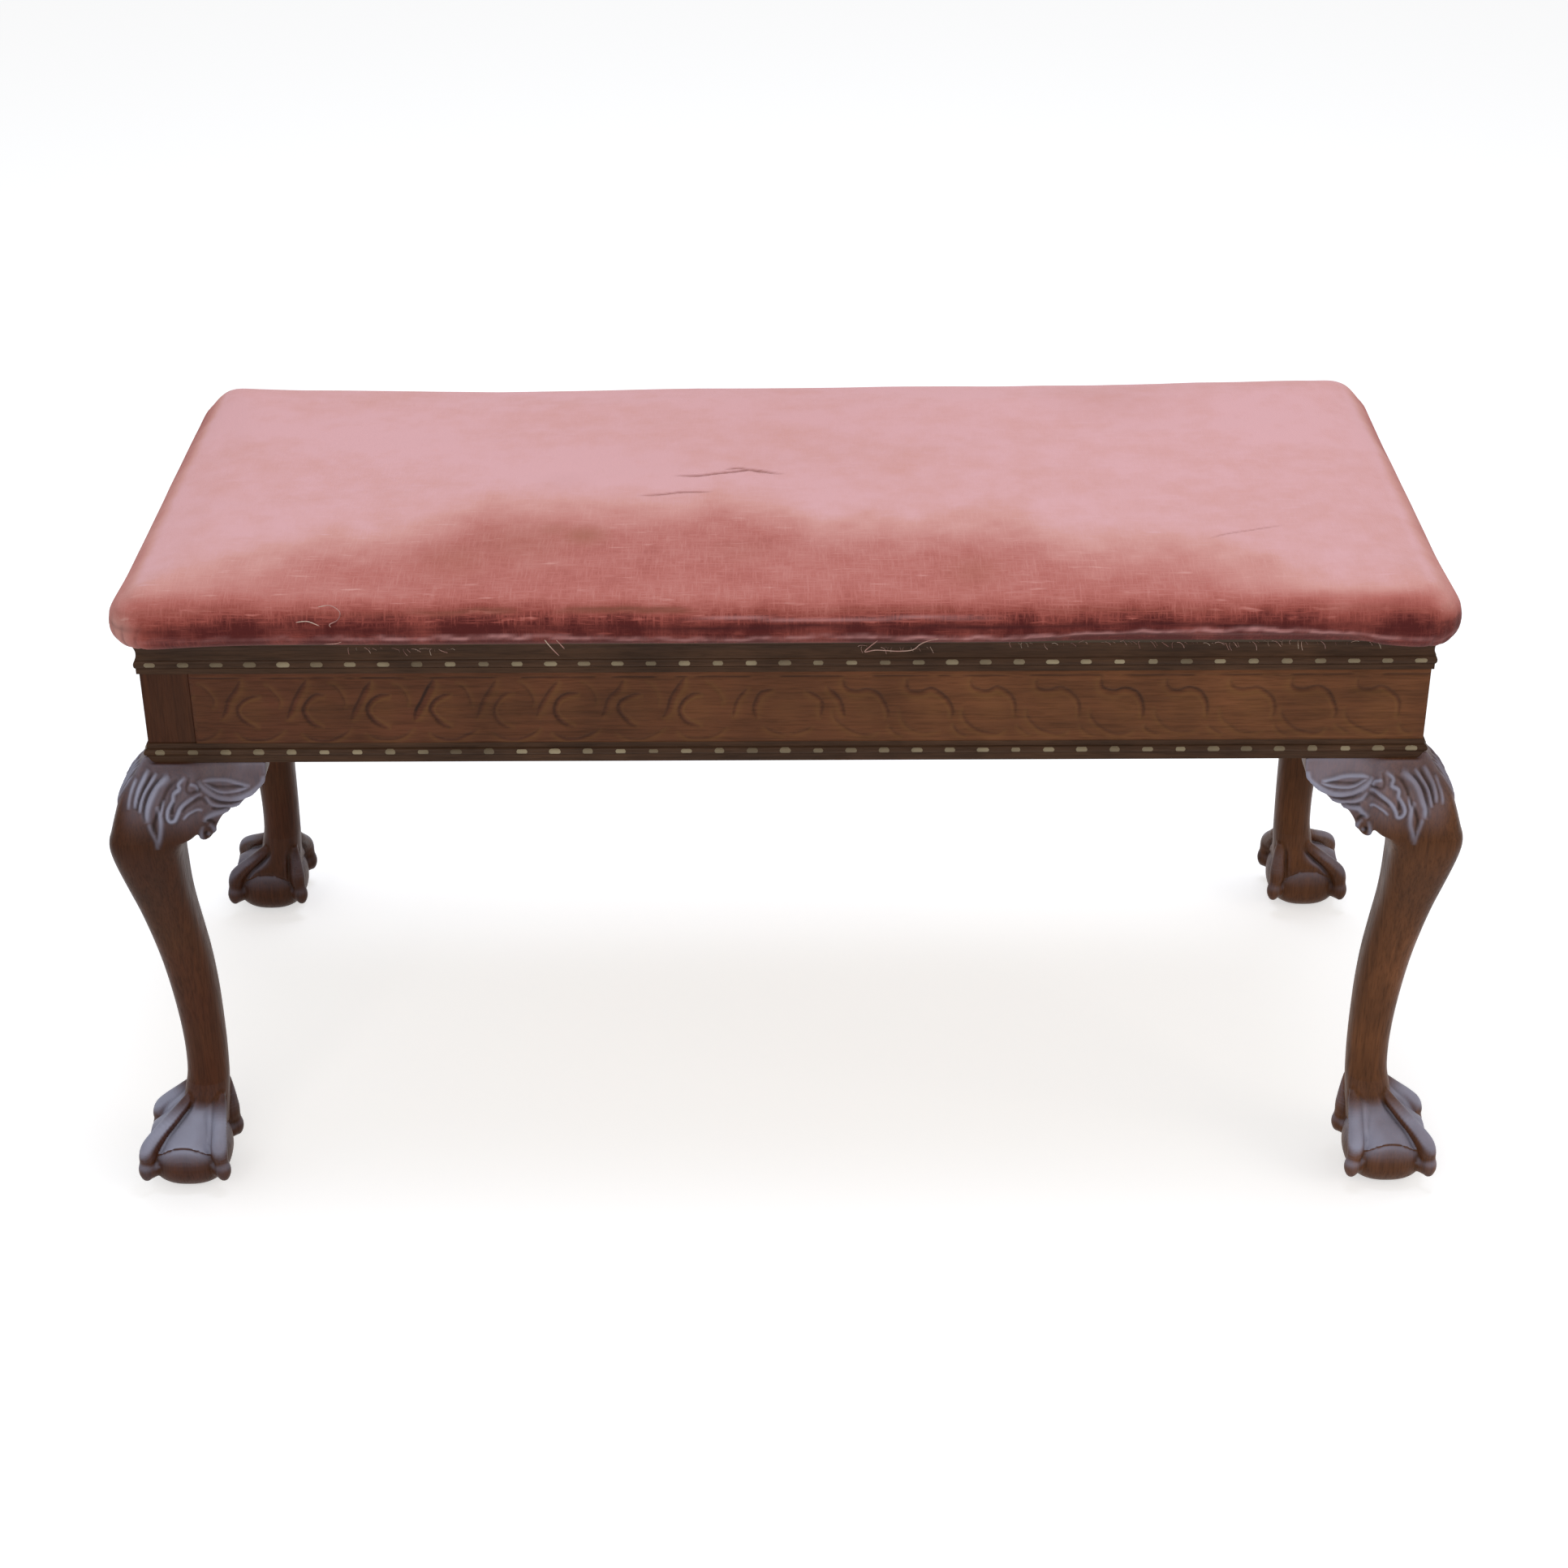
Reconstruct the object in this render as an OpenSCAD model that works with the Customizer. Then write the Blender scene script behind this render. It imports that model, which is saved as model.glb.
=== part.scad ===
// Duet piano stool: an upholstered lid, hinged at the back, over a shallow music box
// that stands on four cabriole legs with ball-and-claw feet.
// Origin on the floor under the middle of the seat, X along the seat, front towards -Y, Z up.

/* [Box] */
// Length of the box over the faces of its rails
box_l = 900; // [700:5:1100]
// Depth of the box over the faces of its rails
box_d = 385; // [340:5:450]
// Thickness of the four rails
rail_t = 18; // [14:1:24]
// Width of the square post that heads each leg
post_w = 34; // [30:1:40]
// Thickness of the bottom board
bottom_t = 8; // [6:1:12]
// Width of the cleats that carry the bottom board
cleat_w = 12; // [10:1:16]
// Height of the cleats
cleat_h = 10; // [8:1:16]

/* [Tenons] */
// Thickness of the rail tenons
tenon_t = 8; // [6:1:10]
// Length of the rail tenons
tenon_l = 14; // [8:1:15]
// Shoulder left above and below each tenon
tenon_shoulder = 14; // [10:1:20]

/* [Frieze and mouldings] */
// Height of the carved frieze
frieze_h = 55.5; // [40:0.5:65]
// Height of the plain fillet at the foot of the rails
low_fillet_h = 5.5; // [4:0.5:8]
// Height of the lower bead
low_bead_h = 5.5; // [4:0.5:8]
// Height of the flat band above the lower bead
band_h = 4; // [2:0.5:6]
// Height of the fillet above the frieze
top_fillet_h = 4; // [3:0.1:8]
// Height of the upper bead
top_bead_h = 6.6; // [5:0.1:9]
// Height of the cove under the lid
cove_h = 12.6; // [9:0.1:15]
// How far the plain fillets stand out from the rails
fillet_out = 1.6; // [1:0.1:2.5]
// How far the lower bead stands out from the rails
low_bead_out = 3.2; // [2.8:0.1:5]
// How far the upper bead stands out from the rails
top_bead_out = 2.8; // [2.2:0.1:5]
// How far the lip of the cove stands out from the rails
cove_out = 1.6; // [1.4:0.1:5]
// Height of the upright lip of the cove
cove_lip_h = 3; // [2.5:0.1:4.5]

/* [Legs] */
// Height of the legs up to the rails
leg_h = 357; // [300:1:400]
// How far the knee stands out past the rails
knee_out = 33; // [24:1:42]
// How far the centre of the foot stands out past the rails
foot_out = 5.5; // [2:0.5:12]
// Height at which the ankle starts to spread into the foot
foot_h = 66; // [56:1:76]
// Radius of the ball
ball_r = 29; // [26:0.5:34]
// Height of the centre of the ball, less than its radius so that it stands on a flat
ball_h = 25; // [22:0.5:29]
// Distance of the talons from the centre of the ball
talon_reach = 38; // [33:0.5:41]
// Half width of the talons at the knuckle
talon_w = 6; // [4:0.5:8]
// Half depth of the talons at the knuckle
talon_d = 7.5; // [5:0.5:9]

/* [Ear brackets] */
// Length of each ear along the rail, from the post to its tip
ear_l = 47; // [36:1:60]
// Depth of the ear at its scroll
ear_drop = 52; // [44:1:70]
// How far the top edge of the ear stands out from the rail
ear_lip = 2; // [1:0.5:4]

/* [Lid] */
// How far the covered seat stands out past the rails at each end
seat_over_end = 13.5; // [10:0.5:20]
// How far the covered seat stands out past the front and back rails
seat_over_front = 16; // [12:0.5:22]
// Thickness of the covered seat from the hem to the crown
seat_t = 40; // [38:1:64]
// Corner radius of the seat
seat_corner_r = 28; // [20:1:45]
// Width of the roll along the upper edge of the seat
edge_roll = 26; // [12:1:32]
// Width of the round along the lower edge of the seat
hem_roll = 4; // [3:0.25:4.5]
// How far the long sides draw in between the corners
side_draw = 2; // [0:0.5:5]
// Thickness of the lid board
board_t = 18; // [15:1:22]
// Thickness of the velvet cover
cover_t = 1.5; // [1:0.1:2.5]
// Width of the hem that turns under the board
hem_w = 16; // [12:1:20]
// Width of the padding round the edge of the board
edge_pad = 8; // [5:1:9]
// Thickness of the lining under the lid
lining_t = 1; // [0.8:0.1:1.4]

/* [Hinges] */
// Angle to which the hinges let the lid open
lid_open_deg = 100; // [92:1:105]
// Length of each hinge
hinge_l = 60; // [45:1:90]
// Distance of each hinge from the middle of the stool
hinge_x = 300; // [200:5:340]
// Width of each leaf from the pin
leaf_w = 20; // [16:1:24]
// Thickness of each leaf
leaf_t = 2; // [1.5:0.1:2.5]
// Radius of the knuckles
knuckle_r = 3.5; // [3:0.1:4.5]
// Radius of the pin
pin_r = 1.6; // [1.2:0.1:2]

/* [Fastenings] */
// Radius of the cleat and bottom screws
screw_r = 2; // [1.5:0.1:2.5]
// Length of the cleat and bottom screws
screw_l = 25; // [20:1:28]
// Length of the ear screws
ear_screw_l = 40; // [34:1:50]
// Radius of the hinge screws
hinge_screw_r = 1.6; // [1.2:0.1:2]
// Length of the hinge screws
hinge_screw_l = 14; // [10:1:16]
// Radius of the tack heads
tack_head_r = 3; // [2:0.5:4]
// Spacing of the lining tacks
tack_pitch = 50; // [30:1:80]

/* [Hidden] */

wood = "#4a2c20";
wood_light = "#5f3b25";
deal = "#b08a5c";
velvet = "#c88f8c";
stuffing = "#d9cdb4";
cloth = "#3a3734";
brass = "#b3924f";
steel = "#7d7d80";

round_fn = 48;
overrun = 1;
// Gap left round soft pieces and between pieces that move past each other
clear = 0.3;
// Gap between a screw, tack or tenon and its hole
snug = 0.05;
// Radial play of the lid knuckles on the pins
pin_play = 0.05;

rail_h = low_fillet_h + low_bead_h + band_h + frieze_h + top_fillet_h + top_bead_h + cove_h;
box_top = leg_h + rail_h;
hem_z = box_top + clear;
board_z = hem_z + cover_t;
band_out = 0.6 * fillet_out;
// Depth of the cove's hollow, and the radius that gives it from the bead to the lip
cove_depth = 1;
cove_r = (pow((cove_h - cove_lip_h) / 2, 2) + pow(cove_depth, 2)) / (2 * cove_depth);
top_moulding_out = max(cove_out, top_bead_out);

// The four sides of the box. Each is made as the back one and turned into its place.
SIDES = ["front", "back", "left", "right"];
function side_turn(side) = side == "back" ? 0 : side == "left" ? 90 : side == "front" ? 180 : -90;
function is_long(side) = side == "front" || side == "back";
function side_l(side) = is_long(side) ? box_l : box_d;
function side_face(side) = is_long(side) ? box_d / 2 : box_l / 2;

// Puts children on one side of the box, with the face of the rail on Y = 0 and outwards +Y
module on_side(side) {
    rotate([0, 0, side_turn(side)])
        translate([0, side_face(side), 0])
            children();
}

// Joins a list of rings of n points each into faces, for a loft that climbs
function loft_faces(rings, n) = [
    for (k = [0:rings - 2]) for (i = [0:n - 1])
        let (a = k * n + i, b = k * n + (i + 1) % n)
            each [[a, a + n, b + n], [a, b + n, b]]
];
function turned(faces) = [for (f = faces) [f[2], f[1], f[0]]];
function shifted(faces, by) = [for (f = faces) [for (v = f) v + by]];
function ring_fan(first, n, centre) = [for (i = [0:n - 1]) [first + i, first + (i + 1) % n, centre]];
function ring_cap(first, n) = [for (i = [0:n - 1]) first + i];
function ring_cap_back(first, n) = [for (i = [0:n - 1]) first + n - 1 - i];
function ring_centre(ring) = [for (p = ring) 1] * ring / len(ring);
function flat(list) = [for (item = list) each item];
function sign_power(v, e) = sign(v) * pow(abs(v), e);

// A closed loft through rings of equal length, each counter-clockwise seen from above
module loft(rings) {
    n = len(rings[0]);
    last = len(rings) - 1;
    count = len(rings) * n;
    polyhedron(
        points = concat(flat(rings), [ring_centre(rings[0]), ring_centre(rings[last])]),
        faces = concat(
            loft_faces(len(rings), n),
            ring_fan(0, n, count),
            turned(ring_fan(last * n, n, count + 1))
        ),
        convexity = 6
    );
}

// Legs
// Each leg is made at the back right corner, measured from the faces of the rails there,
// outwards positive. Each station: height, outer line, inner line, squareness.
leg_sides = 24;
leg_station_shares = [
    [1.000, 0.15, 1.00, 8.0], [0.983, 0.35, 1.00, 8.0], [0.966, 0.49, 1.00, 7.0],
    [0.940, 0.67, 1.00, 6.0], [0.910, 0.79, 1.00, 5.5], [0.868, 0.925, 0.97, 5.0],
    [0.854, 0.97, 0.74, 4.5], [0.835, 0.98, 0.59, 4.0], [0.807, 0.94, 0.53, 3.6],
    [0.770, 0.855, 0.53, 3.4], [0.720, 0.725, 0.54, 3.2], [0.670, 0.597, 0.575, 3.0],
    [0.600, 0.45, 0.655, 2.8], [0.530, 0.33, 0.73, 2.6], [0.450, 0.225, 0.776, 2.5],
    [0.370, 0.15, 0.79, 2.4], [0.300, 0.12, 0.79, 2.3], [0.240, 0.14, 0.775, 2.3]
];
// Each foot station: height as a share of the foot, outer line as a share of the foot's
// spread past the rails, inner line as a share of the post, squareness
foot_spread = foot_out + ball_r;
foot_station_shares = [
    [1.09, 0.20, 0.755, 2.4], [0.97, 0.25, 0.735, 2.5], [0.88, 0.32, 0.72, 2.6], [0.80, 0.46, 0.71, 2.8],
    [0.735, 0.63, 0.70, 3.0], [0.667, 0.80, 0.69, 3.2], [0.606, 0.92, 0.68, 3.4]
];

function leg_ring(z, outer, inner, square_n) = let (
    mid = (outer + inner) / 2,
    half = (outer - inner) / 2
) [
    for (i = [0:leg_sides - 1]) let (a = 360 * i / leg_sides) [
        mid + half * sign_power(cos(a), 2 / square_n),
        mid + half * sign_power(sin(a), 2 / square_n),
        z
    ]
];

leg_rings = concat(
    [for (i = [len(foot_station_shares) - 1:-1:0]) let (s = foot_station_shares[i])
        leg_ring(s[0] * foot_h, s[1] * foot_spread, -s[2] * post_w, s[3])],
    [for (i = [len(leg_station_shares) - 1:-1:0]) let (s = leg_station_shares[i])
        leg_ring(s[0] * leg_h, s[1] * knee_out, -s[2] * post_w, s[3])]
);

// Each talon station: reach from the ball's axis, height, half width and half depth
talon_sides = 10;
talon_station_shares = [
    [0.24, 0.94, 0.60, 0.60], [0.52, 0.85, 0.85, 0.85], [0.82, 0.73, 1.00, 1.00],
    [0.99, 0.59, 1.00, 1.00], [1.03, 0.48, 0.90, 0.95], [1.05, 0.37, 0.95, 1.00],
    [1.04, 0.28, 0.80, 0.85], [1.00, 0.21, 0.35, 0.35]
];
talon_path = [for (s = talon_station_shares) [s[0] * talon_reach, s[1] * foot_h]];

function talon_tilt(k) = let (
    a = talon_path[max(k - 1, 0)],
    b = talon_path[min(k + 1, len(talon_path) - 1)]
) atan2(b[1] - a[1], b[0] - a[0]);

function talon_ring(k) = let (
    tilt = talon_tilt(k),
    c = talon_path[k],
    w = talon_station_shares[k][2] * talon_w,
    d = talon_station_shares[k][3] * talon_d
) [
    for (i = [0:talon_sides - 1]) let (a = 360 * i / talon_sides) [
        c[0] + d * sin(a) * sin(tilt),
        w * cos(a),
        c[1] - d * sin(a) * cos(tilt)
    ]
];

module talon() {
    loft([for (k = [len(talon_path) - 1:-1:0]) talon_ring(k)]);
}

module ball_and_claw() {
    translate([foot_out, foot_out, 0]) {
        intersection() {
            translate([0, 0, ball_h])
                sphere(r = ball_r, $fn = round_fn);
            translate([-ball_r - overrun, -ball_r - overrun, 0])
                cube([2 * (ball_r + overrun), 2 * (ball_r + overrun), ball_h + ball_r + overrun]);
        }
        for (turn = [45:90:315])
            rotate([0, 0, turn])
                talon();
    }
}

// The square post above the knee, with a mortise for each of its two rails
module leg_post() {
    difference() {
        translate([-post_w, -post_w, leg_h])
            cube([post_w, post_w, rail_h]);
        mortise();
        mirror([1, -1, 0])
            mortise();
    }
}

module mortise() {
    translate([-post_w - overrun, -(rail_t + tenon_t) / 2 - snug, leg_h + tenon_shoulder - snug])
        cube([tenon_l + snug + overrun, tenon_t + 2 * snug, rail_h - 2 * tenon_shoulder + 2 * snug]);
}

module leg(x_side, y_side) {
    color(wood)
        scale([x_side, y_side, 1])
            translate([box_l / 2, box_d / 2, 0]) {
                loft(leg_rings);
                ball_and_claw();
                leg_post();
            }
}

// Ear brackets
// Each station: place along the ear, depth below the rail, and how far its foot stands out
ear_station_shares = [
    [0.00, 0.92, 0.74], [0.085, 1.00, 0.73], [0.19, 0.96, 0.66], [0.25, 0.80, 0.52],
    [0.33, 0.69, 0.43], [0.45, 0.60, 0.36], [0.64, 0.51, 0.27], [0.83, 0.37, 0.18],
    [0.97, 0.24, 0.12], [1.00, 0.09, 0.10]
];
ear_steps = 3;
ear_swell = 0.8;
ear_screw_share = 0.6;

function ear_ring(s) = let (
    x = s[0] * ear_l,
    drop = s[1] * ear_drop,
    foot_p = s[2] * knee_out
) concat(
    [[x, -rail_t, 0]],
    [[x, -rail_t, -drop]],
    [for (k = [ear_steps:-1:0]) let (down = k / ear_steps)
        [x, ear_lip + (foot_p - ear_lip) * pow(down, ear_swell), -drop * down]]
);

// The ear runs along +X from the post, under the rail whose face is on Y = 0
module ear_shape() {
    rings = [for (s = ear_station_shares) ear_ring(s)];
    n = len(rings[0]);
    polyhedron(
        points = flat(rings),
        faces = concat(
            turned(loft_faces(len(rings), n)),
            [ring_cap_back(0, n)],
            [ring_cap((len(rings) - 1) * n, n)]
        ),
        convexity = 6
    );
}

module ear(side, hand) {
    color(wood)
        on_side(side)
            scale([hand, 1, 1])
                translate([side_l(side) / 2 - post_w, 0, leg_h])
                    mirror([1, 0, 0])
                        difference() {
                            ear_shape();
                            ear_screw_place()
                                ear_screw_hole();
                        }
}

// Screws
module screw(r, l) {
    union() {
        cylinder(h = r, r1 = 2 * r, r2 = r, $fn = round_fn);
        cylinder(h = l, r = r, $fn = round_fn);
    }
}

module screw_hole(r, l) {
    union() {
        cylinder(h = r + snug, r1 = 2 * r + snug, r2 = r + snug, $fn = round_fn);
        cylinder(h = l + snug, r = r + snug, $fn = round_fn);
        translate([0, 0, -overrun])
            cylinder(h = overrun + snug, r = 2 * r + snug, $fn = round_fn);
    }
}

// An ear screw runs up into the rail, its head sunk half way up the ear
module ear_screw_place() {
    translate([ear_screw_share * ear_l, -rail_t / 2, -ear_drop / 4])
        children();
}

module ear_screw_hole() {
    screw_hole(screw_r, ear_screw_l);
    translate([0, 0, -ear_drop])
        cylinder(h = ear_drop + snug, r = 2 * screw_r + snug, $fn = round_fn);
}

module at_ear_screws(side) {
    for (hand = [-1, 1])
        on_side(side)
            scale([hand, 1, 1])
                translate([side_l(side) / 2 - post_w, 0, leg_h])
                    mirror([1, 0, 0])
                        ear_screw_place()
                            children();
}

module ear_screws() {
    color(steel)
        for (side = SIDES)
            at_ear_screws(side)
                screw(screw_r, ear_screw_l);
}

// Rails
module rail_blank(side) {
    span = side_l(side) - 2 * post_w;
    on_side(side) {
        translate([-span / 2, -rail_t, leg_h])
            cube([span, rail_t, rail_h]);
        translate([-span / 2 - tenon_l, -(rail_t + tenon_t) / 2, leg_h + tenon_shoulder])
            cube([span + 2 * tenon_l, tenon_t, rail_h - 2 * tenon_shoulder]);
    }
}

module rail(side) {
    color(wood_light)
        difference() {
            rail_blank(side);
            at_ear_screws(side)
                screw_hole(screw_r, ear_screw_l);
            at_cleat_screws(side)
                screw_hole(screw_r, screw_l);
            hinge_recess();
            box_leaf_screw_holes();
        }
}

// Mouldings: profiles with outwards to +X and up to +Y
// Share of a bead's stand-out that is square, behind its round
bead_root_share = 0.3;

module bead_profile(out, h) {
    root = bead_root_share * out;
    square([root, h]);
    translate([root, h / 2])
        scale([2 * (out - root) / h, 1])
            circle(d = h, $fn = round_fn);
}

module base_profile() {
    square([fillet_out, low_fillet_h]);
    translate([0, low_fillet_h])
        intersection() {
            bead_profile(low_bead_out, low_bead_h);
            square([low_bead_out, low_bead_h]);
        }
    translate([0, low_fillet_h + low_bead_h])
        square([band_out, band_h]);
}

module cove_profile() {
    square([fillet_out, top_fillet_h]);
    translate([0, top_fillet_h])
        intersection() {
            bead_profile(top_bead_out, top_bead_h);
            square([top_bead_out, top_bead_h]);
        }
    translate([0, top_fillet_h + top_bead_h])
        difference() {
            square([cove_out, cove_h]);
            translate([cove_out - cove_depth + cove_r, (cove_h - cove_lip_h) / 2])
                circle(r = cove_r, $fn = 2 * round_fn);
        }
}

// A strip of moulding along one side, mitred at both corners
module mitred(side, reach) {
    on_side(side)
        intersection() {
            translate([-side_l(side) / 2 - reach, 0, 0])
                rotate([90, 0, 90])
                    linear_extrude(side_l(side) + 2 * reach)
                        children();
            linear_extrude(box_top)
                polygon([
                    [-side_l(side) / 2, 0], [side_l(side) / 2, 0],
                    [side_l(side) / 2 + reach, reach], [-side_l(side) / 2 - reach, reach]
                ]);
        }
}

module cove_moulding(side) {
    color(wood)
        difference() {
            mitred(side, top_moulding_out)
                translate([0, box_top - cove_h - top_bead_h - top_fillet_h])
                    cove_profile();
            hinge_recess();
        }
}

module base_moulding(side) {
    color(wood)
        mitred(side, low_bead_out)
            translate([0, leg_h])
                base_profile();
}

// Bottom board and cleats
cleat_screw_count_long = 5;
cleat_screw_count_short = 2;
inner_l = box_l - 2 * rail_t;
inner_d = box_d - 2 * rail_t;
post_gap_l = box_l - 2 * post_w;
post_gap_d = box_d - 2 * post_w;

function cleat_span(side) = side_l(side) - 2 * post_w - 2 * clear;
function screw_count(side) = is_long(side) ? cleat_screw_count_long : cleat_screw_count_short;

module along_cleat(side) {
    count = screw_count(side);
    on_side(side)
        for (k = [0:count - 1])
            translate([cleat_span(side) * ((k + 0.5) / count - 0.5), 0, 0])
                children();
}

module at_cleat_screws(side) {
    along_cleat(side)
        translate([0, -rail_t - cleat_w, leg_h + cleat_h / 2])
            rotate([-90, 0, 0])
                children();
}

module at_bottom_screws(side) {
    along_cleat(side)
        translate([cleat_span(side) / screw_count(side) / 4, -rail_t - cleat_w / 2, leg_h + cleat_h + bottom_t])
            rotate([180, 0, 0])
                children();
}

module cleat(side) {
    color(deal)
        difference() {
            on_side(side)
                translate([-cleat_span(side) / 2, -rail_t - cleat_w, leg_h])
                    cube([cleat_span(side), cleat_w, cleat_h]);
            at_cleat_screws(side)
                screw_hole(screw_r, screw_l);
            at_bottom_screws(side)
                screw_hole(screw_r, bottom_screw_l);
        }
}

screw_tip_cover = 2;
bottom_screw_l = bottom_t + cleat_h - screw_tip_cover;

module cleat_screws() {
    color(steel)
        for (side = SIDES)
            at_cleat_screws(side)
                screw(screw_r, screw_l);
}

module bottom_screws() {
    color(steel)
        for (side = SIDES)
            at_bottom_screws(side)
                screw(screw_r, bottom_screw_l);
}

module bottom_board() {
    color(deal)
        difference() {
            translate([-inner_l / 2 + clear, -inner_d / 2 + clear, leg_h + cleat_h])
                cube([inner_l - 2 * clear, inner_d - 2 * clear, bottom_t]);
            for (x = [-1, 1])
                for (y = [-1, 1])
                    scale([x, y, 1])
                        translate([post_gap_l / 2 - clear, post_gap_d / 2 - clear, leg_h])
                            cube([post_w, post_w, rail_h]);
            for (side = SIDES)
                at_bottom_screws(side)
                    screw_hole(screw_r, bottom_screw_l);
        }
}

// Hinges
// Each butt hinge has five knuckles, three on the box leaf and two on the lid leaf. A bar
// under the knuckles stops the lid leaf's tails when the lid is fully open.
knuckle_count = 5;
knuckle_l = hinge_l / knuckle_count;
knuckle_gap = 0.1;
axis_y = box_d / 2 + cove_out + knuckle_r + clear;
leaf_gap = 2 * clear;
axis_z = box_top + clear / 2;
tail_l = 5;
stop_h = 4;
hinge_screw_count = 3;
hinge_screw_row = leaf_w / 2 + knuckle_r / 2;
// Where the tip of an open tail stands, seen from the pin
tail_tip_y = tail_l * cos(lid_open_deg) + leaf_gap / 2 * sin(lid_open_deg);

module at_hinges() {
    for (x = [-hinge_x, hinge_x])
        translate([x, axis_y, axis_z])
            children();
}

module knuckle(k, bore_r) {
    translate([-hinge_l / 2 + k * knuckle_l + knuckle_gap / 2, 0, 0])
        rotate([0, 90, 0])
            difference() {
                cylinder(h = knuckle_l - knuckle_gap, r = knuckle_r, $fn = round_fn);
                translate([0, 0, -overrun])
                    cylinder(h = knuckle_l + 2 * overrun, r = bore_r, $fn = round_fn);
            }
}

// The plate behind the knuckles, and the tongue that joins it to one of them
module leaf_plate() {
    translate([-hinge_l / 2, -leaf_w, leaf_gap / 2])
        cube([hinge_l, leaf_w - knuckle_r - clear, leaf_t]);
}

module leaf_tongue(k) {
    translate([-hinge_l / 2 + k * knuckle_l + knuckle_gap / 2, -knuckle_r - clear - snug, leaf_gap / 2])
        cube([knuckle_l - knuckle_gap, clear + snug + knuckle_r - pin_r - leaf_gap, leaf_t]);
}

module leaf_screws(grow) {
    for (k = [0:hinge_screw_count - 1])
        translate([
            hinge_l * ((k + 0.5) / hinge_screw_count - 0.5),
            -hinge_screw_row,
            leaf_gap / 2
        ])
            if (grow)
                screw_hole(hinge_screw_r, hinge_screw_l);
            else
                screw(hinge_screw_r, hinge_screw_l);
}

module hinge_box_leaf() {
    mirror([0, 0, 1])
        difference() {
            union() {
                leaf_plate();
                for (k = [0:2:knuckle_count - 1])
                    leaf_tongue(k);
            }
            leaf_screws(true);
        }
    for (k = [0:2:knuckle_count - 1])
        knuckle(k, pin_r);
    stop_bar();
}

// The bar hangs from the box leaf's own knuckles and passes under the others
module stop_bar() {
    bar_y = -knuckle_r;
    bar_top = -knuckle_r - clear;
    translate([-hinge_l / 2 + knuckle_gap / 2, bar_y, bar_top - stop_h])
        cube([hinge_l - knuckle_gap, tail_tip_y - clear - bar_y, stop_h]);
    for (k = [0:2:knuckle_count - 1])
        translate([-hinge_l / 2 + k * knuckle_l + knuckle_gap / 2, bar_y, bar_top - stop_h])
            cube([knuckle_l - knuckle_gap, knuckle_r - pin_r - clear, stop_h + knuckle_r + clear]);
}

module hinge_lid_leaf() {
    difference() {
        union() {
            leaf_plate();
            for (k = [1:2:knuckle_count - 1]) {
                leaf_tongue(k);
                translate([-hinge_l / 2 + k * knuckle_l + knuckle_gap / 2, pin_r + clear, leaf_gap / 2])
                    cube([knuckle_l - knuckle_gap, tail_l - pin_r - clear, leaf_t]);
            }
        }
        leaf_screws(true);
    }
    for (k = [1:2:knuckle_count - 1])
        knuckle(k, pin_r + pin_play);
}

module hinge_box_leaves() {
    color(brass)
        at_hinges()
            hinge_box_leaf();
}

module hinge_lid_leaves() {
    color(brass)
        at_hinges()
            hinge_lid_leaf();
}

module hinge_pins() {
    color(brass)
        at_hinges()
            translate([-hinge_l / 2, 0, 0])
                rotate([0, 90, 0])
                    cylinder(h = hinge_l, r = pin_r, $fn = round_fn);
}

module box_leaf_screws() {
    color(brass)
        at_hinges()
            mirror([0, 0, 1])
                leaf_screws(false);
}

module box_leaf_screw_holes() {
    at_hinges()
        mirror([0, 0, 1])
            leaf_screws(true);
}

module lid_leaf_screws() {
    color(brass)
        at_hinges()
            leaf_screws(false);
}

// The shallow bed cut in the back rail and its moulding for the box leaf
module hinge_recess() {
    at_hinges()
        translate([-hinge_l / 2 - snug, -leaf_w - snug, -leaf_gap / 2 - leaf_t - snug])
            cube([hinge_l + 2 * snug, leaf_w + overrun, leaf_t + leaf_gap + overrun]);
}

// The bed for the lid leaf, and the hollow round the knuckles
module lid_hinge_room() {
    at_hinges() {
        translate([-hinge_l / 2 - snug, -leaf_w - snug, -leaf_t])
            cube([hinge_l + 2 * snug, leaf_w + tail_l, leaf_gap / 2 + 2 * leaf_t + snug]);
        translate([-hinge_l / 2 - clear, 0, 0])
            rotate([0, 90, 0])
                cylinder(h = hinge_l + 2 * clear, r = knuckle_r + 2 * clear, $fn = round_fn);
    }
}

// The gap cut in the cover and the padding so that the knuckles show at the back
module cover_hinge_room() {
    at_hinges()
        translate([-hinge_l / 2 - clear, -leaf_w - clear, -hem_z / 2])
            cube([
                hinge_l + 2 * clear,
                leaf_w + 2 * clear + seat_d / 2 - axis_y + overrun,
                hem_z / 2 + knuckle_r + 2 * clear
            ]);
}

// Lid
seat_l = box_l + 2 * seat_over_end;
seat_d = box_d + 2 * seat_over_front;
corner_steps = 6;
long_steps = 9;
short_steps = 4;
crown_round_share = 0.35;
ridge_share = 0.95;
// The skin's profile from the hem's free edge round the side to the crown.
// Each lower point: share of the hem's round, share of the seat's thickness.
hem_shares = [[1, 0], [0.36, 0.045], [0.1, 0.15]];
// Each upper point: share of the roll, share of half the seat depth, share of the seat's thickness.
skin_shares = [
    [0, 0, 0.48], [0.075, 0, 0.65], [0.31, 0, 0.775], [0.75, 0, 0.855],
    [1, 0.08, 0.92], [1, 0.31, 0.97], [1, 0.64, 0.995], [1, 0.87, 1]
];
// How much of the side's draw each point takes
draw_shares = [0, 0, 0.3, 0.7, 1, 1, 0.8, 0.4, 0.1, 0, 0, 0];

skin_path = concat(
    [[hem_w, 0]],
    [for (s = hem_shares) [s[0] * hem_roll, s[1] * seat_t]],
    [for (s = skin_shares) [s[0] * edge_roll + s[1] * seat_d / 2, s[2] * seat_t]]
);

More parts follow.
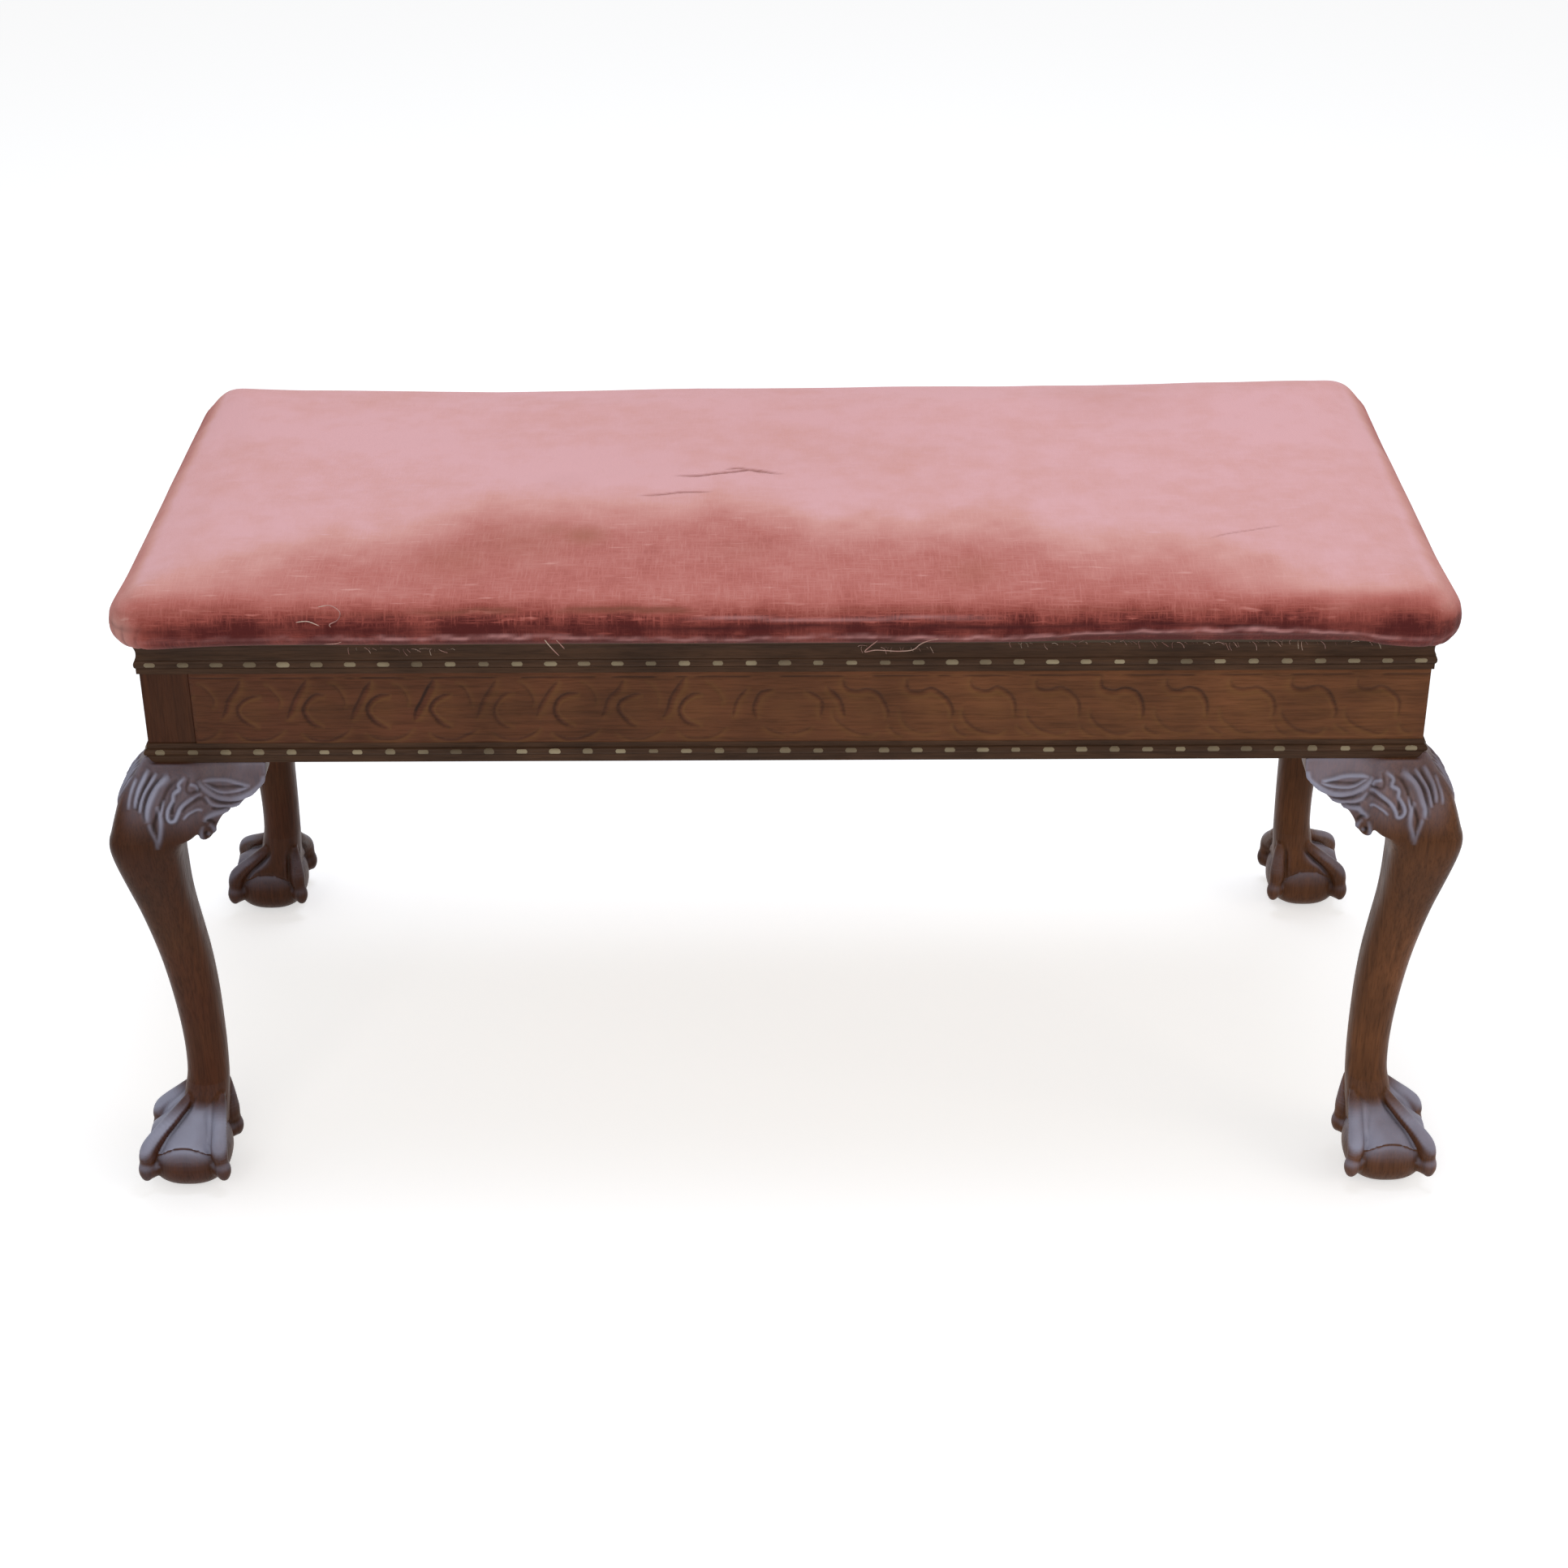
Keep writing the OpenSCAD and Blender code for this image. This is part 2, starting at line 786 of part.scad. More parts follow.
function skin_inwards(k) = let (
    a = skin_path[max(k - 1, 0)],
    b = skin_path[min(k + 1, len(skin_path) - 1)],
    along = [a[0] - b[0], b[1] - a[1]]
) k == 0 ? [0, 1]
    : k == len(skin_path) - 1 ? [0, -1]
    : [along[1], along[0]] / norm(along);

function skin_corner_r(inset) = seat_corner_r + crown_round_share * inset;

// One ring of the seat at a depth below its skin
function skin_ring(k, depth) = let (
    inwards = skin_inwards(k),
    inset = skin_path[k][0] + depth * inwards[0],
    z = hem_z + skin_path[k][1] + depth * inwards[1],
    hx = seat_l / 2 - inset,
    hy = seat_d / 2 - inset,
    r = min(skin_corner_r(inset), ridge_share * hy),
    draw = side_draw * draw_shares[k]
) concat(
    corner_arc(hx, hy, r, 0, z),
    side_run([hx - r, hy], [-hx + r, hy], [0, -draw], long_steps, z),
    corner_arc(-hx, hy, r, 90, z),
    side_run([-hx, hy - r], [-hx, -hy + r], [draw, 0], short_steps, z),
    corner_arc(-hx, -hy, r, 180, z),
    side_run([-hx + r, -hy], [hx - r, -hy], [0, draw], long_steps, z),
    corner_arc(hx, -hy, r, 270, z),
    side_run([hx, -hy + r], [hx, hy - r], [-draw, 0], short_steps, z)
);

function corner_arc(x, y, r, start, z) = [
    for (i = [0:corner_steps]) let (a = start + 90 * i / corner_steps)
        [x - sign(x) * r + r * cos(a), y - sign(y) * r + r * sin(a), z]
];

function side_run(a, b, draw, steps, z) = [
    for (i = [1:steps - 1]) let (t = i / steps, p = a + (b - a) * t + draw * sin(180 * t))
        [p[0], p[1], z]
];

// A flat block inside the seat's outline, set in from it and with round corners
module seat_block(inset, r, z, h) {
    hx = seat_l / 2 - inset;
    hy = seat_d / 2 - inset;
    translate([0, 0, z])
        linear_extrude(h) {
            square([2 * hx, 2 * (hy - r)], center = true);
            square([2 * (hx - r), 2 * hy], center = true);
            for (x = [-1, 1])
                for (y = [-1, 1])
                    translate([x * (hx - r), y * (hy - r)])
                        circle(r = r, $fn = round_fn);
        }
}

module board_block(z, h) {
    seat_block(edge_pad, seat_corner_r - edge_pad, z, h);
}

module lid_board() {
    color(deal)
        difference() {
            board_block(board_z, board_t);
            lid_hinge_room();
            at_hinges()
                leaf_screws(true);
            at_tacks()
                tack_hole();
        }
}

module seat_pad() {
    rings = [for (k = [3:len(skin_path) - 1]) skin_ring(k, cover_t + clear)];
    color(stuffing)
        difference() {
            loft(rings);
            board_block(board_z - seat_t, seat_t + board_t);
            cover_hinge_room();
        }
}

module velvet_cover() {
    last = len(skin_path) - 1;
    outer = [for (k = [0:last]) skin_ring(k, 0)];
    inner = [for (k = [0:last]) skin_ring(k, cover_t)];
    n = len(outer[0]);
    count = (last + 1) * n;
    hem_strip = [
        for (i = [0:n - 1]) let (j = (i + 1) % n)
            each [[i, j, j + count], [i, j + count, i + count]]
    ];
    color(velvet)
        difference() {
            polyhedron(
                points = concat(
                    flat(outer),
                    flat(inner),
                    [ring_centre(outer[last]), ring_centre(inner[last])]
                ),
                faces = concat(
                    loft_faces(last + 1, n),
                    turned(ring_fan(last * n, n, 2 * count)),
                    shifted(turned(loft_faces(last + 1, n)), count),
                    ring_fan(count + last * n, n, 2 * count + 1),
                    hem_strip
                ),
                convexity = 8
            );
            cover_hinge_room();
        }
}

module lid_lining() {
    color(cloth)
        difference() {
            seat_block(hem_w + clear, skin_corner_r(hem_w) + lining_t, board_z - lining_t, lining_t);
            cover_hinge_room();
            at_tacks()
                tack_hole();
        }
}

tack_r = 0.8;
tack_l = 9;
tack_head_t = 0.8;
tack_edge = 6;
tack_x = inner_l / 2 - tack_edge - tack_head_r;
tack_y = inner_d / 2 - tack_edge - tack_head_r;
tack_count_x = floor(2 * (tack_x - post_w) / tack_pitch);
tack_count_y = floor(2 * (tack_y - post_w) / tack_pitch);

module at_tacks() {
    for (side = [-1, 1]) {
        for (k = [0:tack_count_x])
            translate([2 * (tack_x - post_w) * (k / tack_count_x - 0.5), side * tack_y, board_z - lining_t])
                children();
        for (k = [0:tack_count_y])
            translate([side * tack_x, 2 * (tack_y - post_w) * (k / tack_count_y - 0.5), board_z - lining_t])
                children();
    }
}

module tack_hole() {
    cylinder(h = tack_l, r = tack_r + snug, $fn = round_fn);
}

module lining_tacks() {
    color(steel)
        at_tacks() {
            translate([0, 0, -tack_head_t])
                cylinder(h = tack_head_t, r = tack_head_r, $fn = round_fn);
            translate([0, 0, -tack_head_t])
                cylinder(h = tack_l, r = tack_r, $fn = round_fn);
        }
}

leg(-1, -1);  // leg_front_left
leg(1, -1);  // leg_front_right
leg(-1, 1);  // leg_back_left
leg(1, 1);  // leg_back_right
ear("front", 1);  // ear_front_left
ear("front", -1);  // ear_front_right
ear("back", -1);  // ear_back_left
ear("back", 1);  // ear_back_right
ear("left", -1);  // ear_left_front
ear("left", 1);  // ear_left_back
ear("right", 1);  // ear_right_front
ear("right", -1);  // ear_right_back
rail("front");  // front_rail
rail("back");  // back_rail
rail("left");  // left_rail
rail("right");  // right_rail
cove_moulding("front");  // front_cove_moulding
cove_moulding("back");  // back_cove_moulding
cove_moulding("left");  // left_cove_moulding
cove_moulding("right");  // right_cove_moulding
base_moulding("front");  // front_base_moulding
base_moulding("back");  // back_base_moulding
base_moulding("left");  // left_base_moulding
base_moulding("right");  // right_base_moulding
bottom_board();
cleat("front");  // front_cleat
cleat("back");  // back_cleat
cleat("left");  // left_cleat
cleat("right");  // right_cleat
cleat_screws();
bottom_screws();
ear_screws();
hinge_box_leaves();
hinge_lid_leaves();
hinge_pins();
box_leaf_screws();
lid_leaf_screws();
lid_board();
seat_pad();
velvet_cover();
lid_lining();
lining_tacks();
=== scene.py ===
"""Duet piano stool: a carved mahogany music box on four ball and claw legs, under a worn velvet lid.

Shapes are worked out in millimetres and handed to Blender in metres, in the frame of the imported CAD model.
"""

import math

import bmesh
import bpy
import numpy as np
from bpy.props import FloatProperty, FloatVectorProperty, IntProperty, PointerProperty
from bpy.types import Operator, Panel, PropertyGroup
from mathutils import Matrix, Vector


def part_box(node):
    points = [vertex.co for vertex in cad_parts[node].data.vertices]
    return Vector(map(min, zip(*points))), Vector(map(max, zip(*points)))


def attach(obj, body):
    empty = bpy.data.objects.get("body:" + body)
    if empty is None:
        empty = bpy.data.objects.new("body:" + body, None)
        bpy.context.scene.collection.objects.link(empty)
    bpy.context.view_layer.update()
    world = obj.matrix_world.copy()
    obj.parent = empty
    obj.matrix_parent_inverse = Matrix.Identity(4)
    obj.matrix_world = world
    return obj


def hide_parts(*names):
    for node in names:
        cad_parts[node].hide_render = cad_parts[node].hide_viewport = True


bl_info = {
    "name": "Duet Piano Stool",
    "version": (1, 0, 0),
    "blender": (4, 5, 0),
    "location": "3D View > Sidebar > Stool",
    "description": "Carved mahogany duet stool with a velvet lid, built round its CAD model",
    "category": "Object",
}

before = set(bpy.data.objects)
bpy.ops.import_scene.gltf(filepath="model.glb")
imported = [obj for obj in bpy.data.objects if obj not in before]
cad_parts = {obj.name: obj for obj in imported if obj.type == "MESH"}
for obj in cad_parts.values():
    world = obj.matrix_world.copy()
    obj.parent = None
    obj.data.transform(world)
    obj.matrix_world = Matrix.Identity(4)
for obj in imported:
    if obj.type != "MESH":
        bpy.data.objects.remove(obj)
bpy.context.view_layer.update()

MM = 0.001


def node_box(node):
    """Lowest and highest corner of a CAD node, in millimetres."""
    low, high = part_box(node)
    return np.array(low) / MM, np.array(high) / MM


BOX_X = -node_box("left_rail")[0][0]
BOX_Y = -node_box("front_rail")[0][1]
SEAT_LOW, SEAT_HIGH = node_box("velvet_cover")
LINING_LOW, LINING_HIGH = node_box("lid_lining")
LEG_TOP = node_box("ear_front_left")[1][2]
POST_TOP = node_box("leg_front_left")[1][2]
POST_W = 34.0
FRIEZE_LOW = node_box("front_base_moulding")[1][2] - 0.2
FRIEZE_HIGH = node_box("front_cove_moulding")[0][2] + 0.2
FRIEZE_MIDDLE = 397.6  # level from which the scrolls' strokes are measured


def linear(text):
    """An sRGB hex colour as linear red, green, blue and alpha."""
    parts = [int(text[k:k + 2], 16) / 255 for k in (1, 3, 5)]
    return tuple(c / 12.92 if c <= 0.04045 else ((c + 0.055) / 1.055) ** 2.4 for c in parts) + (1.0,)


# Settings


def length_setting(name, text, default):
    """A length in metres that a user may change."""
    return FloatProperty(name=name, description=text, default=default, min=0, unit="LENGTH", precision=4)


def colour_setting(name, text, default):
    """A colour that a user may change, given as sRGB hex."""
    return FloatVectorProperty(
        name=name, description=text, default=linear(default), size=4, subtype="COLOR", min=0, max=1
    )


class StoolSizes(PropertyGroup):
    """Sizes of the carved, turned and stuffed pieces."""

    knee_out: length_setting("Knee stand-out", "How far the knee stands out from the box", 0.033)
    foot_out: length_setting("Foot stand-out", "How far the foot's centre stands out from the box", 0.0055)
    foot_h: length_setting("Foot height", "Height of the foot from the floor to the ankle", 0.066)
    ball_r: length_setting("Ball radius", "Radius of the ball in the claw", 0.031)
    knee_relief: length_setting("Knee relief", "Height of the leaf carving on the knees", 0.0020)
    frieze_relief: length_setting("Frieze relief", "Depth of the gouge cuts in the frieze", 0.0014)
    bead_pitch: length_setting("Bead pitch", "Distance from one carved bead to the next", 0.0232)
    bead_l: length_setting("Bead length", "Length of one carved bead", 0.0108)
    carving_grain: length_setting("Carving mesh size", "Edge length of the carved legs' mesh", 0.0009)
    frieze_grain: length_setting("Frieze mesh size", "Edge length of the frieze's mesh", 0.0010)
    seat_grain: length_setting("Cloth mesh size", "Edge length of the velvet while it is stuffed", 0.008)
    seat_swell: length_setting("Seat swell", "The most that the stuffing pushes the velvet out", 0.006)
    hand_seed: IntProperty(name="Hand seed", description="Seed of the carver's irregularities", default=7)


class StoolColours(PropertyGroup):
    """Colours of the stool's finishes."""

    # The left legs and the frieze's left end are darker and redder than the right: partly the wood's tone,
    # partly painted shade away from the light at the right.
    leg: colour_setting("Leg mahogany", "Colour of the right legs' polished mahogany", "#663f25")
    leg_red: colour_setting("Leg, redder side", "Colour of the left legs' polished mahogany", "#482614")
    # The rubbed carving colour is blue-grey wear and a painted sheen, standing for the sky's reflection in
    # the polish.
    leg_sheen_and_wear: colour_setting("Rubbed carving", "Colour of the wax bloom on the carving", "#a6a9bf")
    frieze: colour_setting("Frieze mahogany", "Colour of the frieze at the right", "#683f27")
    frieze_red: colour_setting("Frieze, redder end", "Colour of the frieze at the left", "#502a1d")
    moulding: colour_setting("Moulding mahogany", "Colour of the mouldings' polish", "#452f20")
    bead: colour_setting("Rubbed beads", "Colour of the rubbed beads", "#a3967b")
    faded: colour_setting("Faded velvet", "Colour of the faded pile on top", "#d2a0a0")
    pile: colour_setting("Velvet pile", "Colour of the pile that kept its dye", "#ad645b")
    pile_dye_and_shade: colour_setting("Deep pile", "Colour of the velvet under the front edge", "#541d1b")
    pine: colour_setting("Pine", "Colour of the bottom board and its cleats", "#a9814f")
    brass: colour_setting("Brass", "Colour of the hinges and tacks", "#b08d4c")
    steel: colour_setting("Steel", "Colour of the screws", "#7f7b75")
    lining: colour_setting("Lining cloth", "Colour of the cotton lining", "#3d3431")


def sizes():
    """The stool's sizes as set in the sidebar."""
    return bpy.context.scene.stool_sizes


def colours():
    """The stool's colours as set in the sidebar."""
    return bpy.context.scene.stool_colours


# Node trees and materials


def add_node(tree, kind, inputs=(), stops=(), **settings):
    """Adds a node to a tree. An input takes a value, a node, a (node, output) pair, or a list of these."""
    node = tree.nodes.new(kind)
    for key, value in settings.items():
        setattr(node, key, value)
    for k, (position, colour) in enumerate(stops):
        elements = node.color_ramp.elements
        element = elements[k] if k < len(elements) else elements.new(position)
        element.position = position
        element.color = colour
    for key, value in dict(inputs).items():
        socket = next(s for s in node.inputs if s.enabled and key in (s.name, s.identifier))
        for item in value if isinstance(value, list) else [value]:
            if isinstance(item, bpy.types.Node):
                tree.links.new(next(s for s in item.outputs if s.enabled), socket)
            elif isinstance(item, tuple) and isinstance(item[0], bpy.types.Node):
                named = (s for s in item[0].outputs if s.enabled and item[1] in (s.name, s.identifier))
                tree.links.new(next(named), socket)
            else:
                socket.default_value = item
    return node


def new_finish(name):
    """An empty material of that name, with its node tree."""
    material = bpy.data.materials.new(name)
    material.use_nodes = True
    material.node_tree.nodes.clear()
    return material, material.node_tree


def darker(colour, share):
    """A colour times a share of its light."""
    return tuple(c * share for c in colour[:3]) + (1.0,)


def mahogany(name, colour, rubbed, along, blotch, gloss, shine, rub):
    """Cuban mahogany, French polished and dark with age: fine pores along the grain, a ribbon of lighter
    and darker wood, a pale colour on the high points, partly wax rubbed off and partly a painted sheen
    and highlight, and painted shade in the cuts. along is the grain's axis, blotch the redder, darker
    colour that the wood turns to at the left, partly its tone and partly painted shade away from the
    light at the right, gloss the roughness of its polish, shine how much it reflects, and rub how far
    the rubbing and the painted sheen show."""
    material, tree = new_finish(name)
    place = add_node(tree, "ShaderNodeTexCoord")
    ribbon_stretch = [230.0, 230.0, 230.0]  # ribbons about 4 mm across and 110 mm long
    ribbon_stretch[along] = 9.0
    pore_stretch = [900.0, 900.0, 900.0]  # pores about 1 mm across, twice the real width, to show
    pore_stretch[along] = 60.0
    ribbon_place = add_node(
        tree, "ShaderNodeMapping", {"Vector": (place, "Object"), "Scale": tuple(ribbon_stretch)}
    )
    pore_place = add_node(
        tree, "ShaderNodeMapping", {"Vector": (place, "Object"), "Scale": tuple(pore_stretch)}
    )
    ribbon = add_node(
        tree, "ShaderNodeTexNoise",
        {"Vector": ribbon_place, "Scale": 1.0, "Detail": 5.0, "Roughness": 0.6, "Distortion": 0.6},
    )
    pores = add_node(tree, "ShaderNodeTexNoise", {"Vector": pore_place, "Scale": 1.0, "Detail": 3.0})
    cloud = add_node(
        tree, "ShaderNodeTexNoise", {"Vector": (place, "Object"), "Scale": 16.0, "Detail": 3.0}
    )
    base = add_node(
        tree, "ShaderNodeValToRGB", {"Fac": ribbon},
        stops=[(0.30, darker(colour, 0.74)), (0.50, colour), (0.72, darker(colour, 1.28))],
    )
    # Towards the left the wood turns redder and darker in patches: partly its tone, partly painted shade
    # away from the light at the right.
    if blotch:
        split = add_node(tree, "ShaderNodeSeparateXYZ", {"Vector": (place, "Object")})
        side = add_node(
            tree, "ShaderNodeMapRange",
            {"Value": (split, "X"), "From Min": -0.42, "From Max": 0.24, "To Min": 1.0, "To Max": 0.0},
        )
        patches = add_node(
            tree, "ShaderNodeMath", {"Value": side, "Value_001": cloud}, operation="MULTIPLY"
        )
        red = add_node(
            tree, "ShaderNodeValToRGB", {"Fac": ribbon},
            stops=[(0.30, darker(blotch, 0.74)), (0.50, blotch), (0.72, darker(blotch, 1.25))],
        )
        factor = add_node(
            tree, "ShaderNodeMath", {"Value": patches, "Value_001": 1.6}, operation="MULTIPLY",
            use_clamp=True,
        )
        base = add_node(
            tree, "ShaderNodeMix", {"Factor": factor, "A": base, "B": red}, data_type="RGBA"
        )
    pore_shade = add_node(
        tree, "ShaderNodeMapRange",
        {"Value": pores, "From Min": 0.36, "From Max": 0.52, "To Min": 0.76, "To Max": 1.0},
    )
    cloud_shade = add_node(
        tree, "ShaderNodeMapRange",
        {"Value": cloud, "From Min": 0.3, "From Max": 0.7, "To Min": 0.72, "To Max": 1.22},
    )
    shade = add_node(
        tree, "ShaderNodeMath", {"Value": pore_shade, "Value_001": cloud_shade}, operation="MULTIPLY"
    )
    shaded = add_node(
        tree, "ShaderNodeMix", {"Factor": 1.0, "A": base, "B": shade},
        data_type="RGBA", blend_type="MULTIPLY",
    )
    # The worn attribute lays on the pale colour: wax rubbed off the high points, and on the legs and frieze
    # a painted sheen and highlight.
    worn = add_node(tree, "ShaderNodeAttribute", attribute_name="worn")
    patchy = add_node(
        tree, "ShaderNodeMapRange",
        {"Value": cloud, "From Min": 0.35, "From Max": 0.6, "To Min": 0.45 * rub, "To Max": rub},
    )
    sheen_and_wear_share = add_node(
        tree, "ShaderNodeMath", {"Value": (worn, "Fac"), "Value_001": patchy}, operation="MULTIPLY",
        use_clamp=True,
    )
    with_sheen_and_wear = add_node(
        tree, "ShaderNodeMix", {"Factor": sheen_and_wear_share, "A": shaded, "B": rubbed}, data_type="RGBA"
    )
    # The hollow attribute darkens the wood: painted shade in the carving's cuts and hollows, and on the back
    # legs.
    hollow = add_node(tree, "ShaderNodeAttribute", attribute_name="hollow")
    with_painted_shade = add_node(
        tree, "ShaderNodeMix", {"Factor": (hollow, "Fac"), "A": with_sheen_and_wear, "B": linear("#1c100b")},
        data_type="RGBA",
    )
    rough = add_node(
        tree, "ShaderNodeMapRange",
        {"Value": pores, "From Min": 0.35, "From Max": 0.6, "To Min": gloss + 0.16, "To Max": gloss},
    )
    height = add_node(tree, "ShaderNodeMath", {"Value": pores, "Value_001": ribbon}, operation="ADD")
    bump = add_node(
        tree, "ShaderNodeBump", {"Height": height, "Strength": 0.22, "Distance": 0.0006}
    )
    shader = add_node(
        tree, "ShaderNodeBsdfPrincipled",
        {
            "Base Color": with_painted_shade, "Roughness": rough, "Normal": bump, "IOR": 1.5,
            "Specular IOR Level": shine, "Coat Weight": shine / 2, "Coat Roughness": 0.22,
        },
    )
    add_node(tree, "ShaderNodeOutputMaterial", {"Surface": shader})
    return material


def pine_wood(name, wood):
    """Planed pine, unpolished: broad growth rings and a dull, dry face. wood is its colour, yellowed on
    the box's bottom and painted nearly black on the lid's board, so that the board's edges, which show
    under the velvet, read as shade."""
    material, tree = new_finish(name)
    place = add_node(tree, "ShaderNodeTexCoord")
    grain = add_node(
        tree, "ShaderNodeMapping", {"Vector": (place, "Object"), "Scale": (4.0, 90.0, 120.0)}
    )
    rings = add_node(
        tree, "ShaderNodeTexNoise", {"Vector": grain, "Scale": 1.0, "Detail": 4.0, "Distortion": 1.2}
    )
    base = add_node(
        tree, "ShaderNodeValToRGB", {"Fac": rings},
        stops=[(0.3, darker(wood, 0.55)), (0.55, wood), (0.75, darker(wood, 1.25))],
    )
    bump = add_node(tree, "ShaderNodeBump", {"Height": rings, "Strength": 0.2, "Distance": 0.0005})
    shader = add_node(
        tree, "ShaderNodeBsdfPrincipled",
        {"Base Color": base, "Roughness": 0.72, "Normal": bump, "IOR": 1.5},
    )
    add_node(tree, "ShaderNodeOutputMaterial", {"Surface": shader})
    return material


def old_metal(name, colour, tarnish, rough):
    """Pressed brass or turned steel, handled for a century: bright where rubbed, dull and brown
    elsewhere. rough is the roughness of the rubbed places."""
    material, tree = new_finish(name)
    place = add_node(tree, "ShaderNodeTexCoord")
    spots = add_node(
        tree, "ShaderNodeTexNoise", {"Vector": (place, "Object"), "Scale": 55.0, "Detail": 3.0}
    )
    base = add_node(
        tree, "ShaderNodeValToRGB", {"Fac": spots},
        stops=[(0.22, tarnish), (0.62, colour), (0.9, darker(colour, 1.15))],
    )
    dull = add_node(
        tree, "ShaderNodeMapRange",
        {"Value": spots, "From Min": 0.35, "From Max": 0.65, "To Min": rough + 0.25, "To Max": rough},
    )
    bump = add_node(tree, "ShaderNodeBump", {"Height": spots, "Strength": 0.15, "Distance": 0.0002})
    shader = add_node(
        tree, "ShaderNodeBsdfPrincipled",
        {"Base Color": base, "Roughness": dull, "Normal": bump, "Metallic": 1.0},
    )
    add_node(tree, "ShaderNodeOutputMaterial", {"Surface": shader})
    return material


def cotton_lining():
    """Glazed black cotton, tacked under the lid: a plain weave, faded to brown along the threads."""
    material, tree = new_finish("Glazed cotton lining")
    place = add_node(tree, "ShaderNodeTexCoord")
    weave = []
    for direction in ("X", "Y"):  # threads 1.6 mm apart, coarser than real so that they show
        weave.append(add_node(
            tree, "ShaderNodeTexWave",
            {"Vector": (place, "Object"), "Scale": 100.0, "Distortion": 0.6},
            bands_direction=direction,
        ))
    cloth = add_node(
        tree, "ShaderNodeMath", {"Value": weave[0], "Value_001": weave[1]}, operation="MULTIPLY"
    )
    cloud = add_node(
        tree, "ShaderNodeTexNoise", {"Vector": (place, "Object"), "Scale": 9.0, "Detail": 4.0}
    )
    dye = colours().lining
    mix = add_node(tree, "ShaderNodeMath", {"Value": cloth, "Value_001": cloud}, operation="MULTIPLY")
    base = add_node(
        tree, "ShaderNodeValToRGB", {"Fac": mix}, stops=[(0.0, darker(dye, 0.6)), (0.5, darker(dye, 1.5))]
    )
    bump = add_node(tree, "ShaderNodeBump", {"Height": cloth, "Strength": 0.3, "Distance": 0.0003})
    shader = add_node(
        tree, "ShaderNodeBsdfPrincipled",
        {"Base Color": base, "Roughness": 0.7, "Normal": bump, "Sheen Weight": 0.15},
    )
    add_node(tree, "ShaderNodeOutputMaterial", {"Surface": shader})
    return material


